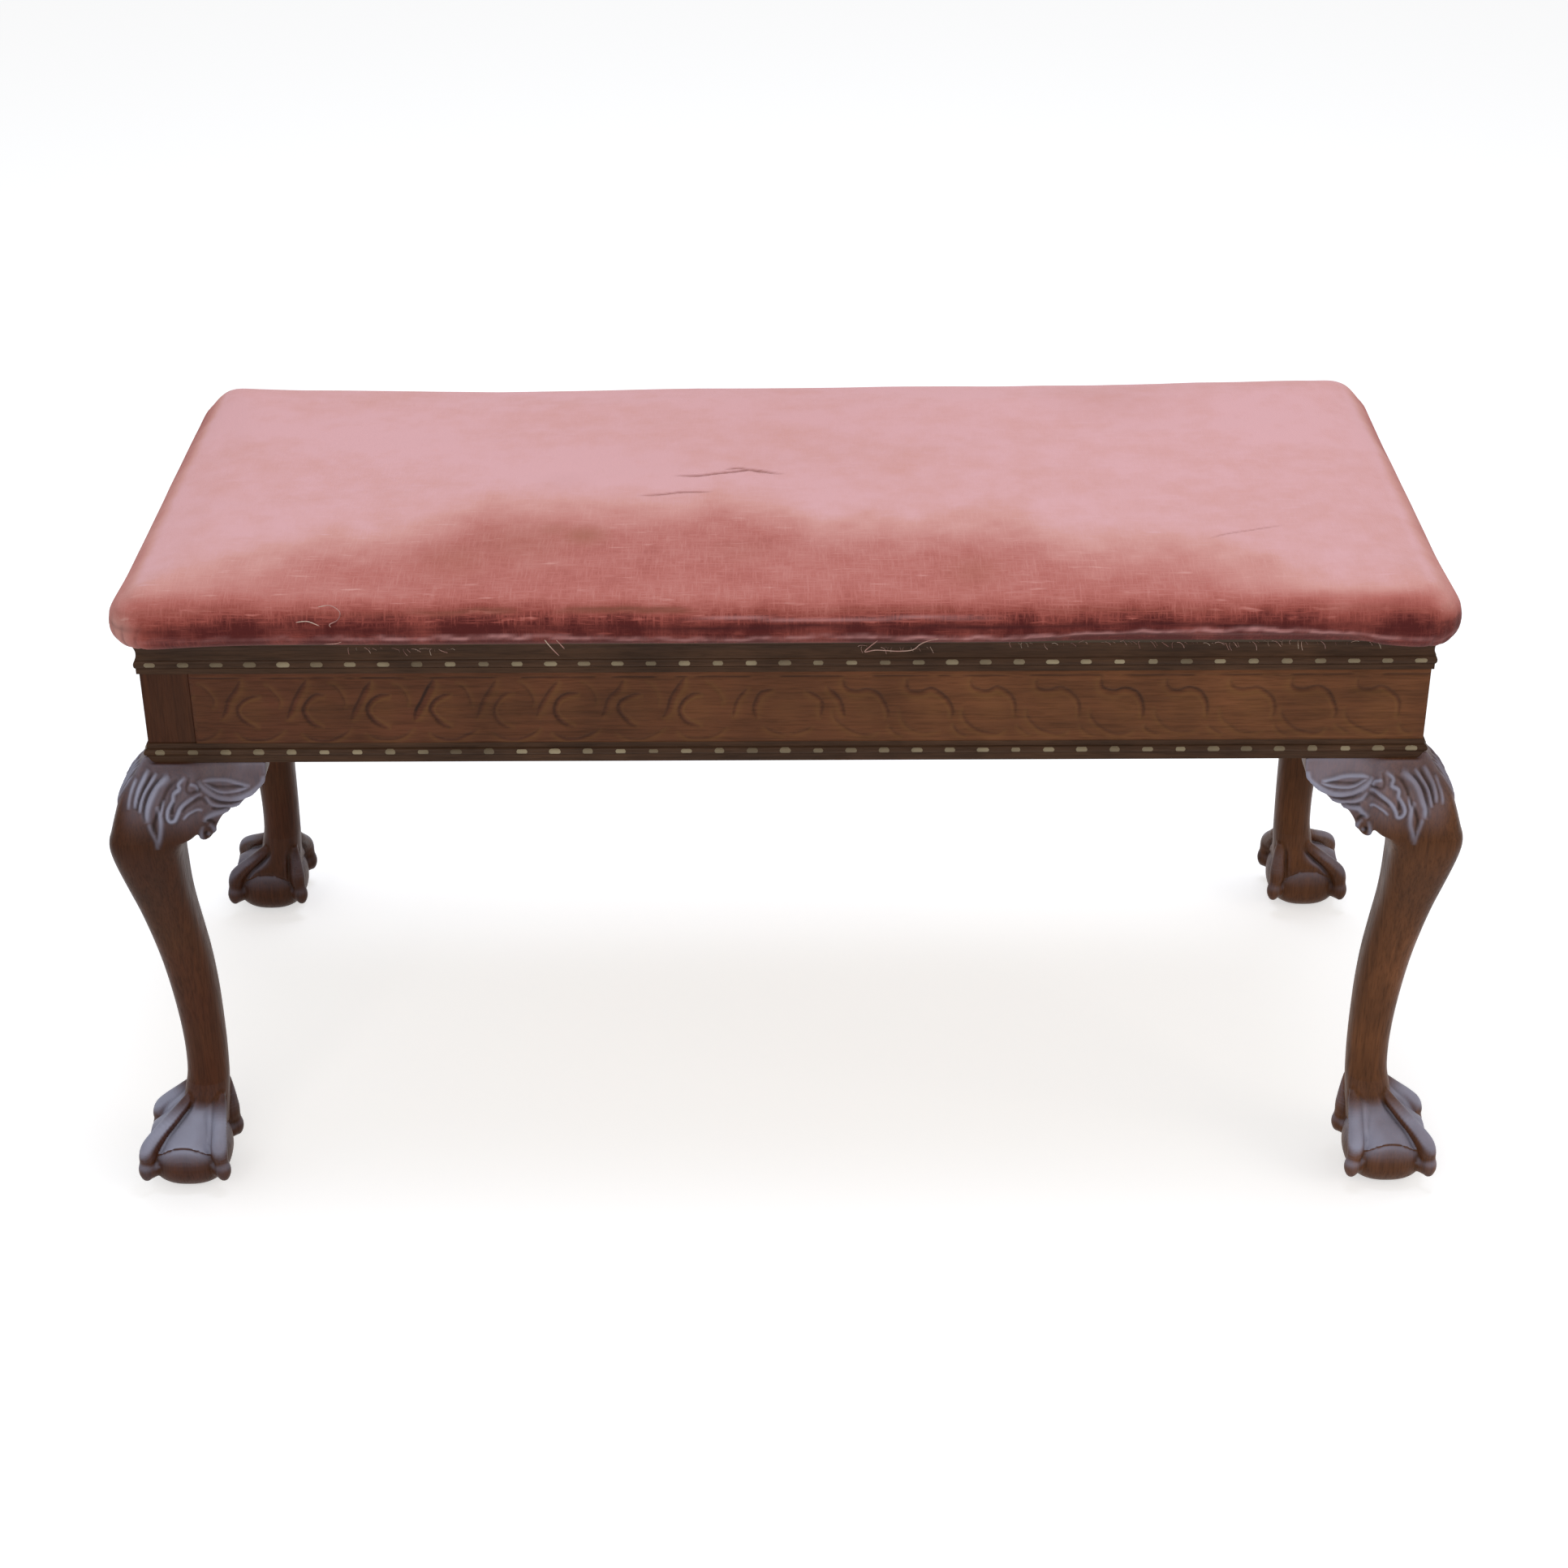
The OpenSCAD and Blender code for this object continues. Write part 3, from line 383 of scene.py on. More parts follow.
def velvet():
    """Cotton velvet on a linen ground, sat on for decades: faded and flat on top, its pile worn to the
    ground threads along the front, and darker under the edge, partly dye that no light reached and partly
    painted shade."""
    material, tree = new_finish("Worn cotton velvet")
    dye = colours()
    place = add_node(tree, "ShaderNodeTexCoord")
    fade, bare, slit, fray, blot = (
        add_node(tree, "ShaderNodeAttribute", attribute_name=name)
        for name in ("fade", "bare", "slit", "fray", "blot")
    )
    mottle = add_node(
        tree, "ShaderNodeTexNoise",
        {"Vector": (place, "Object"), "Scale": 42.0, "Detail": 5.0, "Roughness": 0.62},
    )
    cloud = add_node(
        tree, "ShaderNodeTexNoise", {"Vector": (place, "Object"), "Scale": 9.0, "Detail": 3.0}
    )
    streaks = []
    # Broken threads of the ground, drawn about 1.1 mm apart so that they show.
    for stretch in ((60.0, 900.0, 900.0), (900.0, 60.0, 120.0)):
        thread_place = add_node(
            tree, "ShaderNodeMapping", {"Vector": (place, "Object"), "Scale": stretch}
        )
        streaks.append(add_node(
            tree, "ShaderNodeTexNoise",
            {"Vector": thread_place, "Scale": 1.0, "Detail": 3.0, "Roughness": 0.6},
        ))
    thread = add_node(
        tree, "ShaderNodeMath", {"Value": streaks[0], "Value_001": streaks[1]}, operation="MAXIMUM"
    )
    thread_wide = add_node(
        tree, "ShaderNodeMapRange",
        {"Value": thread, "From Min": 0.46, "From Max": 0.72, "To Min": -0.07, "To Max": 0.14},
    )
    # Flecks of bare ground, about 12 mm long and 2 mm wide, lie here and there along the seat.
    fleck_place = add_node(
        tree, "ShaderNodeMapping", {"Vector": (place, "Object"), "Scale": (45.0, 280.0, 280.0)}
    )
    fleck = add_node(tree, "ShaderNodeTexNoise", {"Vector": fleck_place, "Scale": 1.0, "Detail": 2.0})
    fleck_light = add_node(
        tree, "ShaderNodeMapRange",
        {"Value": fleck, "From Min": 0.64, "From Max": 0.76, "To Min": 0.0, "To Max": 0.34},
    )
    ground = add_node(
        tree, "ShaderNodeMath", {"Value": thread_wide, "Value_001": fleck_light}, operation="ADD"
    )
    thread_share = add_node(
        tree, "ShaderNodeMath", {"Value": ground, "Value_001": (bare, "Fac")}, operation="MULTIPLY"
    )
    total = add_node(
        tree, "ShaderNodeMath", {"Value": (fade, "Fac"), "Value_001": thread_share}, operation="ADD"
    )
    for noise, spread in ((mottle, 0.07), (cloud, 0.04)):
        change = add_node(
            tree, "ShaderNodeMapRange",
            {"Value": noise, "From Min": 0.3, "From Max": 0.7, "To Min": -spread, "To Max": spread},
        )
        total = add_node(tree, "ShaderNodeMath", {"Value": total, "Value_001": change}, operation="ADD")
    # The lowest values, low on the sides, take the darkest colour: dye kept from the light, and painted
    # shade.
    pile = add_node(
        tree, "ShaderNodeValToRGB", {"Fac": total},
        stops=[
            (0.0, dye.pile_dye_and_shade), (0.16, linear("#92483f")), (0.34, dye.pile), (0.56, linear("#bd7d74")),
            (0.78, linear("#c99188")), (1.0, dye.faded),
        ],
    )
    dressed = pile
    # Stains, then painted shade in slits, folds and tears, then the pale ends of frayed threads lie
    # over the pile.
    for cover, shade in ((blot, "#9a5c48"), (slit, "#45191a"), (fray, "#c9908e")):
        dressed = add_node(
            tree, "ShaderNodeMix", {"Factor": (cover, "Fac"), "A": dressed, "B": linear(shade)},
            data_type="RGBA",
        )
    nap = add_node(
        tree, "ShaderNodeTexNoise", {"Vector": (place, "Object"), "Scale": 900.0, "Detail": 2.0}
    )
    relief = add_node(tree, "ShaderNodeMath", {"Value": nap, "Value_001": thread_share}, operation="ADD")
    bump = add_node(tree, "ShaderNodeBump", {"Height": relief, "Strength": 0.35, "Distance": 0.0007})
    shader = add_node(
        tree, "ShaderNodeBsdfPrincipled",
        {
            "Base Color": dressed, "Roughness": 0.85, "Normal": bump, "IOR": 1.45,
            "Specular IOR Level": 0.2, "Sheen Weight": 0.25, "Sheen Roughness": 0.45,
            "Sheen Tint": linear("#e8c4c0"),
        },
    )
    add_node(tree, "ShaderNodeOutputMaterial", {"Surface": shader})
    return material


def loose_thread():
    """Linen ground thread pulled out of the velvet: pale, dusty and fibrous."""
    material, tree = new_finish("Pulled linen thread")
    place = add_node(tree, "ShaderNodeTexCoord")
    fibre = add_node(
        tree, "ShaderNodeTexNoise", {"Vector": (place, "Object"), "Scale": 60.0, "Detail": 4.0}
    )
    base = add_node(
        tree, "ShaderNodeValToRGB", {"Fac": fibre},
        stops=[(0.35, linear("#8d5a55")), (0.5, linear("#b98a80")), (0.65, linear("#c9b7a4"))],
    )
    shader = add_node(
        tree, "ShaderNodeBsdfPrincipled", {"Base Color": base, "Roughness": 0.9, "Sheen Weight": 0.3}
    )
    add_node(tree, "ShaderNodeOutputMaterial", {"Surface": shader})
    return material


FINISHES = {}


def finish_of(slot):
    """The material for one of the record's slots, made the first time that it is asked for."""
    dye = colours()
    makers = {
        "carved_mahogany": lambda: mahogany(
            "Polished mahogany, carved", dye.leg, dye.leg_sheen_and_wear, 2, dye.leg_red, 0.36, 0.09, 0.9
        ),
        # On the frieze the pale colour is a painted highlight.
        "frieze_mahogany": lambda: mahogany(
            "Polished mahogany, frieze", dye.frieze, linear("#8a6436"), 0, dye.frieze_red, 0.42, 0.1, 0.6
        ),
        "moulding_mahogany": lambda: mahogany(
            "Polished mahogany, moulding", dye.moulding, dye.bead, 0, None, 0.45, 0.1, 1.0
        ),
        "pine": lambda: pine_wood("Planed pine", dye.pine),
        # The lid's board is painted nearly black, so that its edges under the velvet read as shade.
        "pine_painted_dark": lambda: pine_wood("Planed pine, darkened", darker(dye.pine, 0.12)),
        "brass": lambda: old_metal("Pressed brass", dye.brass, linear("#6b5230"), 0.34),
        "steel": lambda: old_metal("Turned steel", dye.steel, linear("#4a4039"), 0.35),
        "lining_cloth": cotton_lining,
        "velvet": velvet,
        "thread": loose_thread,
    }
    if slot not in FINISHES:
        FINISHES[slot] = makers[slot]()
    return FINISHES[slot]


# Shapes


def smooth_path(rows, steps):
    """Rows of numbers joined by a smooth curve, with that many samples from each row to the next."""
    rows = np.asarray(rows, float)
    ends = np.vstack([2 * rows[0] - rows[1], rows, 2 * rows[-1] - rows[-2]])
    t = np.linspace(0, 1, steps, endpoint=False)[:, None]
    parts = [
        0.5 * (2 * b + (c - a) * t + (2 * a - 5 * b + 4 * c - d) * t**2 + (3 * b - a - 3 * c + d) * t**3)
        for a, b, c, d in zip(ends, ends[1:], ends[2:], ends[3:])
    ]
    return np.vstack([*parts, rows[-1:]])


def ease(value, low, high):
    """0 at low and below, 1 at high and above, and a soft step between them."""
    t = np.clip((value - low) / (high - low), 0, 1)
    return t * t * (3 - 2 * t)


def bell(value, width):
    """1 at zero, falling away to nothing over about twice that width."""
    return np.exp(-((value / width) ** 2))


def wander(x, seed, length):
    """A smooth irregular line from about -1 to 1 over x, with swings about that length long."""
    rng = np.random.default_rng(seed)
    total = np.zeros_like(x, dtype=float)
    for k in range(4):
        share = 0.6**k
        total += share * np.sin(2 * np.pi * x / (length / 1.7**k) + rng.uniform(0, 2 * np.pi))
    return total / 1.6


def skin_over(rings):
    """Vertices and faces of a closed skin over rings of equal length, with a fan at each end."""
    rings = np.asarray(rings, float)
    count, around = rings.shape[:2]
    verts = np.vstack([rings.reshape(-1, 3), rings[0].mean(0), rings[-1].mean(0)])
    first, last, base = count * around, count * around + 1, (count - 1) * around
    faces = []
    for k in range(around):
        n = (k + 1) % around
        faces += [(r * around + k, r * around + n, (r + 1) * around + n, (r + 1) * around + k)
                  for r in range(count - 1)]
        faces += [(first, n, k), (last, base + k, base + n)]
    return verts, faces


def joined(shapes):
    """Several (vertices, faces) shapes as one."""
    verts, faces, shift = [], [], 0
    for more_verts, more_faces in shapes:
        verts.append(more_verts)
        faces += [tuple(v + shift for v in face) for face in more_faces]
        shift += len(more_verts)
    return np.vstack(verts), faces


def mesh_of(name, verts, faces, attributes=()):
    """A smooth mesh of points in millimetres, with its faces turned outwards and named vertex values."""
    mesh = bpy.data.meshes.new(name)
    mesh.from_pydata((np.asarray(verts) * MM).tolist(), [], [tuple(map(int, f)) for f in faces])
    for key, values in dict(attributes).items():
        layer = mesh.attributes.new(key, "FLOAT", "POINT")
        layer.data.foreach_set("value", np.asarray(values, np.float32))
    work = bmesh.new()
    work.from_mesh(mesh)
    bmesh.ops.recalc_face_normals(work, faces=work.faces)
    work.to_mesh(mesh)
    work.free()
    mesh.shade_smooth()
    return mesh


def object_of(name, data):
    """An object for a mesh, a lamp or a camera, linked to the scene."""
    made = bpy.data.objects.new(name, data)
    bpy.context.scene.collection.objects.link(made)
    return made


def add_piece(name, mesh, body, slot, finish=None, replaced=()):
    """Puts a finished mesh in the scene as a piece that rides on a body."""
    piece = object_of(name, mesh)
    mesh.materials.clear()
    mesh.materials.append(finish_of(finish or slot))
    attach(piece, body)
    if replaced:
        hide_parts(*replaced)
    return piece


def evaluated_mesh(piece):
    """A plain copy of what an object's modifiers make of it; the object itself is removed."""
    bpy.context.view_layer.update()
    mesh = bpy.data.meshes.new_from_object(piece.evaluated_get(bpy.context.evaluated_depsgraph_get()))
    bpy.data.objects.remove(piece)
    return mesh


def geometry_tree(name, labels):
    """A Geometry Nodes tree with a number for each label and a seed as its inputs, and its input node."""
    tree = bpy.data.node_groups.new(name, "GeometryNodeTree")
    tree.is_modifier = True
    panel = tree.interface
    panel.new_socket("Geometry", in_out="INPUT", socket_type="NodeSocketGeometry")
    for label in labels:
        panel.new_socket(label, in_out="INPUT", socket_type="NodeSocketFloat")
    panel.new_socket("Seed", in_out="INPUT", socket_type="NodeSocketInt")
    panel.new_socket("Geometry", in_out="OUTPUT", socket_type="NodeSocketGeometry")
    return tree, add_node(tree, "NodeGroupInput")


def grown(path, tree, values):
    """A plain mesh of what a Geometry Nodes tree makes of a path; the path itself is removed."""
    modifier = path.modifiers.new(tree.name, "NODES")
    modifier.node_group = tree
    for item in tree.interface.items_tree:
        if item.item_type == "SOCKET" and item.in_out == "INPUT" and item.name in values:
            modifier[item.identifier] = values[item.name]
    path.data.update()
    return evaluated_mesh(path)


def arrays_of(mesh):
    """Points in millimetres, faces and edges of a mesh of quads."""
    verts = np.empty(len(mesh.vertices) * 3)
    mesh.vertices.foreach_get("co", verts)
    edges = np.empty(len(mesh.edges) * 2, int)
    mesh.edges.foreach_get("vertices", edges)
    corners = np.empty(len(mesh.loops), int)
    mesh.loops.foreach_get("vertex_index", corners)
    return verts.reshape(-1, 3) / MM, corners.reshape(-1, 4), edges.reshape(-1, 2)


def neighbour_mean(values, edges):
    """For each point, the mean of a value over the points that it shares an edge with."""
    count = np.bincount(edges.ravel(), minlength=len(values))
    wide = values.reshape(len(values), -1)
    sums = [
        np.bincount(edges[:, 0], w[edges[:, 1]], len(w)) + np.bincount(edges[:, 1], w[edges[:, 0]], len(w))
        for w in wide.T
    ]
    return (np.array(sums).T / count[:, None]).reshape(values.shape)


def point_normals(verts, quads):
    """Outward directions at the points of a mesh of quads."""
    cross = np.cross(verts[quads[:, 2]] - verts[quads[:, 0]], verts[quads[:, 3]] - verts[quads[:, 1]])
    total = np.zeros_like(verts)
    for corner in quads.T:
        for axis in range(3):
            total[:, axis] += np.bincount(corner, cross[:, axis], len(verts))
    return total / np.maximum(np.linalg.norm(total, axis=1, keepdims=True), 1e-9)


def worn_and_hollow(verts, quads, edges):
    """How far each point is a rubbed high edge, and how far it lies in a concave cut that gets painted
    shade, from 0 to 1.
    """
    normals = point_normals(verts, quads)
    bend = ((neighbour_mean(verts, edges) - verts) * normals).sum(1)
    for _ in range(2):
        bend = (bend + neighbour_mean(bend, edges)) / 2
    return np.clip(-bend / 0.10, 0, 1), np.clip(bend / 0.12, 0, 1)


def near_stroke(points, stroke):
    """For each point: its distance to a line of points, the side it lies on, and the share of the line
    that is run at the nearest place."""
    stroke = np.asarray(stroke, float)
    start, step = stroke[:-1], np.diff(stroke, axis=0)
    squared = (step**2).sum(1)
    away = points[:, None] - start
    share = np.clip((away * step).sum(2) / squared, 0, 1)
    gap = away - share[..., None] * step
    distance = (gap**2).sum(2)
    nearest = distance.argmin(1)
    row = np.arange(len(points))
    side = step[nearest, 0] * gap[row, nearest, 1] - step[nearest, 1] * gap[row, nearest, 0]
    lengths = np.sqrt(squared)
    before = np.concatenate([[0], np.cumsum(lengths)])
    run = (before[nearest] + share[row, nearest] * lengths[nearest]) / before[-1]
    return np.sqrt(distance[row, nearest]), np.sign(side), run


# Legs. Points are (out along x, out along y, height) from the box's corner, in millimetres, and heights in
# the carving's functions are from the floor.

LEG_STATIONS = (  # height as a share of the leg, outward and inward reach, squareness
    (1, 0.15, 1, 8), (0.983, 0.35, 1, 8), (0.966, 0.49, 1, 7), (0.94, 0.67, 1, 6), (0.91, 0.79, 1, 5.5),
    (0.868, 0.925, 0.97, 5), (0.854, 0.97, 0.74, 4.5), (0.835, 0.98, 0.59, 4), (0.807, 0.94, 0.53, 3.6),
    (0.77, 0.855, 0.53, 3.4), (0.72, 0.725, 0.54, 3.2), (0.67, 0.597, 0.575, 3), (0.6, 0.45, 0.655, 2.8),
    (0.53, 0.33, 0.73, 2.6), (0.45, 0.225, 0.776, 2.5), (0.37, 0.15, 0.79, 2.4), (0.3, 0.12, 0.79, 2.3),
    (0.24, 0.14, 0.775, 2.3),
)
WEB_STATIONS = (  # height as a share of the foot, outward and inward reach, squareness
    (1.09, 0.197, 0.755, 2.4), (0.97, 0.236, 0.735, 2.5), (0.88, 0.288, 0.724, 2.6),
    (0.803, 0.425, 0.71, 2.8), (0.735, 0.603, 0.7, 3), (0.667, 0.795, 0.69, 3.2),
    (0.606, 0.945, 0.676, 3.4),
)
TALON_STATIONS = (  # share of the way from ankle to knuckle, spread, height, half width, half depth
    (-0.05, 1, 70, 3, 3), (0.12, 1, 64, 4.2, 4), (0.38, 1, 57, 5, 5), (0.7, 1, 49, 5.6, 6),
    (0.93, 1, 42, 6.2, 6.6), (1, 1, 36, 6.2, 6.4), (1, 1.03, 30, 5.4, 5.6), (1, 1.05, 25, 6, 6),
    (1, 1.05, 20.5, 5.8, 5.8), (1, 1.04, 17, 4.4, 4.6), (1, 1, 15, 2.2, 2.4),
)
TALON_SIDES = ((1, 1), (1, -1), (-1, 1), (-1, -1))
ANKLE_OUT, ANKLE_IN = 3.3, 21.1
KNUCKLE = 27.5
EAR_STATIONS = (  # way along the rail from the corner, drop of the lower edge, stand-out there
    (14, 43, 26), (20, 44, 26), (26, 44.5, 26), (31, 45, 25), (34, 48.5, 24), (37, 52, 22.5), (40, 52, 21),
    (43, 48.5, 19), (46, 42, 16.5), (50, 36.5, 13.5), (55, 32.5, 11.5), (64, 28.5, 8.8), (73, 20.5, 6),
    (79, 15, 4.2), (81.5, 9, 3),
)
# A stroke of the knee's leaf: half width, share of the relief, points (way in from the corner, height).
KNEE_RIDGES = (
    (1.5, 0.8, ((0, 355), (-3, 350), (-6, 344.5), (-8, 338), (-9, 332))),
    (1.2, 0.9, ((6, 353), (1, 346.5), (-2.5, 341), (-4.5, 335), (-5.5, 329))),
    (2.2, 1.0, ((15.5, 351.5), (8, 346.5), (4, 341.5), (1, 334), (-1, 328), (-0.5, 321.5))),
    (1.3, 1.1, ((26.5, 351), (21.5, 347), (22, 343.5), (18.5, 341), (17.5, 336.5), (14.5, 331),
                (13.2, 326.5), (15, 323.2), (18.5, 323.2), (20, 327), (23, 332), (28, 336), (33, 337.5),
                (37, 337.5))),
    (1.8, 0.8, ((6.5, 334), (8.5, 326), (8.5, 318), (7, 311.5), (5.5, 305))),
    (1.5, 0.6, ((-0.5, 323), (1.5, 317), (4.5, 309), (5.5, 303))),
    (1.2, 0.6, ((-8, 350), (-11, 344), (-13, 338), (-14, 331))),
    (1.1, 0.7, ((11, 338), (9.5, 331), (8.5, 323), (9, 316))),
    (1.0, 0.6, ((29, 346.5), (33, 344), (35, 340))),
    (1.0, 0.6, ((24, 324), (28, 327), (33, 328.5), (37, 326))),
    (1.4, 0.9, ((36, 345.5), (43.5, 346.2), (55, 345.5), (63, 342.7), (70.5, 340.3))),
    (1.1, 0.7, ((36, 345), (41.7, 342), (49.6, 338), (58.7, 337.2), (66, 338.5), (70.5, 340.3))),
    (1.8, 1.1, ((34.5, 347), (36.5, 343), (40.7, 338.3), (47.8, 333.8), (58.4, 332.1), (69.3, 334.6),
                (78, 341), (80, 348))),
    (1.3, 0.8, ((38, 336), (41, 331.5), (46, 328.6), (54, 327), (62, 327.2), (66, 329))),
    (1.9, 1.0, ((37, 318), (40, 321), (44, 323.2), (50, 324.2), (56, 324.5))),
    (1.3, 0.9, ((36.5, 316), (35.2, 311), (36, 305), (39, 301.5), (42.5, 304), (44, 309), (43, 314),
                (40, 316.5))),
)
KNEE_GROOVES = (
    (1.0, 0.8, ((3, 354), (-1, 348), (-4, 342.5), (-6.5, 336), (-8, 330))),
    (1.1, 1.0, ((10.5, 352), (4.5, 346.5), (0.5, 341), (-1.8, 335), (-3.2, 328), (-3, 322))),
    (1.5, 1.1, ((21, 350.5), (15, 346), (12, 341), (9.5, 335), (6.5, 329), (3.5, 321), (4, 314))),
    (1.2, 1.0, ((18.5, 337), (17.3, 332), (16.8, 327.5))),
    (1.5, 0.9, ((24, 329), (27, 332.2), (32, 334.2), (37, 334), (40, 330))),
    (1.2, 0.8, ((29, 351), (27, 345), (29, 341), (34, 340.5), (36.5, 341))),
    (1.2, 1.0, ((41.5, 335.5), (50, 330.6), (62.4, 329.3), (70, 332))),
    (1.2, 0.9, ((40, 343.6), (48, 341.2), (58, 340.6), (66, 341))),
    (1.0, 0.9, ((42, 327), (48, 325.8), (56, 325.6))),
    (1.3, 1.0, ((38.5, 319.5), (42, 318.5), (45, 315))),
    (1.2, 0.9, ((38.5, 312), (39, 307), (41, 306.5), (41.5, 310))),
)
KNEE_VOLUTE = (40, 309.5, 2.2)  # way in, height and radius of the scroll's eye


def leg_ring(z, outer, inner, squareness, turns):
    """One ring of the leg: a square with soft corners, reaching further outwards than inwards."""
    centre, half = (outer - inner) / 2, (outer + inner) / 2
    sides = [
        centre + half * np.sign(wave) * np.abs(wave) ** (2 / squareness)
        for wave in (np.cos(turns), np.sin(turns))
    ]
    return np.stack([*sides, np.full_like(turns, z)], 1)


def leg_shell(leg_h, knee_out, foot_h, foot_reach):
    """Knee, shank, ankle and the web of the foot as one skin."""
    rows = [(h * leg_h, o * knee_out, i * POST_W, n) for h, o, i, n in LEG_STATIONS]
    rows += [(h * foot_h, o * foot_reach, i * POST_W, n) for h, o, i, n in WEB_STATIONS]
    turns = np.linspace(0, 2 * np.pi, 120, endpoint=False)
    diagonal = np.abs(np.sin(2 * turns))
    corner = bell(np.angle(np.exp(1j * (turns - np.pi / 4))), 0.30)
    rings = []
    for z, outer, inner, squareness in smooth_path(rows, 5):
        ring = leg_ring(z, outer, inner, squareness, turns)
        ring[:, 2] -= 4 * diagonal**1.5 * ease(-z, -52, -38)  # the web hangs lower beside the talons
        ring[:, 2] += 6 * corner * ease(z, leg_h - 8, leg_h)  # the knee's ridge runs up over the moulding
        rings.append(ring)
    return skin_over(rings)


def talon_line(sides, foot_out):
    """Middle line of a talon, and its half widths and depths. Sides are 1 outwards and -1 inwards."""
    share, spread, z, width, depth = smooth_path(TALON_STATIONS, 5).T
    sides = np.array(sides)
    ankle = np.where(sides > 0, ANKLE_OUT, -ANKLE_IN)
    flat = ankle + share[:, None] * (foot_out + sides * KNUCKLE - ankle)
    flat = foot_out + spread[:, None] * (flat - foot_out)
    return np.column_stack([flat, z]), width, depth


def talon_shell(sides, foot_out):
    """One talon, from the ankle over its knuckles to the point of the nail. Its inner half is drawn in to
    the middle of the foot, so that the talon grows out of the web and grips the ball."""
    line, width, depth = talon_line(sides, foot_out)
    way = np.gradient(line, axis=0)
    across = np.cross(way, (*sides, 0))
    face = np.cross(across, way)
    across /= np.linalg.norm(across, axis=1, keepdims=True)
    face /= np.linalg.norm(face, axis=1, keepdims=True)
    turns = np.linspace(0, 2 * np.pi, 28, endpoint=False)[:, None]
    inner = 0.8 * np.clip(-np.cos(turns), 0, 1)
    rings = []
    for place, w, d, f, a in zip(line, width, depth, face, across):
        ring = place + np.cos(turns) * d * f + np.sin(turns) * w * a
        rings.append(ring + inner * ((foot_out, foot_out, place[2] - 8) - ring))
    return skin_over(rings)


def beside_talons(points, foot_out):
    """How far each point lies outside the nearest talon, in millimetres."""
    gap = np.full(len(points), 99.0)
    for sides in TALON_SIDES:
        line, width, _ = talon_line(sides, foot_out)
        away = np.linalg.norm(points[:, None] - line, axis=2)
        nearest = away.argmin(1)
        gap = np.minimum(gap, away[np.arange(len(points)), nearest] - width[nearest])
    return gap


def ball_shell(foot_out, radius):
    """The ball, a little square in plan and profile, and flat where it stands on the floor."""
    half, middle, power = 0.8 * radius, 0.775 * radius, 0.8
    low = -math.asin((middle / half) ** (1 / power))
    turns = np.linspace(0, 2 * np.pi, 72, endpoint=False)
    plan = [np.sign(wave) * np.abs(wave) ** power for wave in (np.cos(turns), np.sin(turns))]
    rings = []
    for tilt in np.linspace(low, math.pi / 2 - 0.02, 30):
        reach = radius * math.cos(tilt) ** power
        level = middle + half * math.copysign(abs(math.sin(tilt)) ** power, tilt)
        rings.append(np.stack([
            foot_out + reach * plan[0], foot_out + reach * plan[1], np.full_like(turns, level),
        ], 1))
    return skin_over(rings)


def ear_shell(top, swapped):
    """The ear beside the knee, under the rail: a block with a hollowed, curving face."""
    rings = []
    for along, drop, out in smooth_path(EAR_STATIONS, 4):
        down = np.linspace(0, 1, 22)
        face = 2 + (out - 2) * down**0.75
        under = np.linspace(0, np.pi / 2, 7)[1:]
        lip = 2.2
        front = np.stack([face, top - (drop - lip) * down], 1)
        turn = np.stack([out - lip + lip * np.cos(under), top - drop + lip - lip * np.sin(under)], 1)
        back = np.array([
            (-8, top - drop), (-16, top - drop), (-16, top - drop / 2), (-16, top), (-8, top),
        ])
        section = np.vstack([front, turn, back])
        ring = np.stack([np.full(len(section), -along), section[:, 0], section[:, 1]], 1)
        rings.append(ring[:, [1, 0, 2]] if swapped else ring)
    return skin_over(rings)


def leaf_carving(way_in, z, seed):
    """The leaf over the knee and ears: how high its ridges stand and how deep its cuts go, from 0 to 1."""
    rng = np.random.default_rng(seed)
    near = (z > 298) & (z < 358) & (way_in > -16) & (way_in < 84)
    points = np.stack([way_in, z], 1)[near]
    raised, cut = np.zeros(len(z)), np.zeros(len(z))
    for strokes, field in ((KNEE_RIDGES, raised), (KNEE_GROOVES, cut)):
        for width, share, stroke in strokes:
            path = smooth_path(np.array(stroke) + rng.normal(0, 0.25, (len(stroke), 2)), 4)
            distance, _, run = near_stroke(points, path)
            taper = np.clip(np.minimum(run, 1 - run) * 6, 0, 1) ** 0.6
            field[near] = np.maximum(field[near], share * taper * bell(distance, 1.05 * width))
    x, level, radius = KNEE_VOLUTE
    eye = np.hypot(way_in - x, z - level)
    return np.maximum(raised, 0.8 * bell(eye, radius * 0.6)), cut


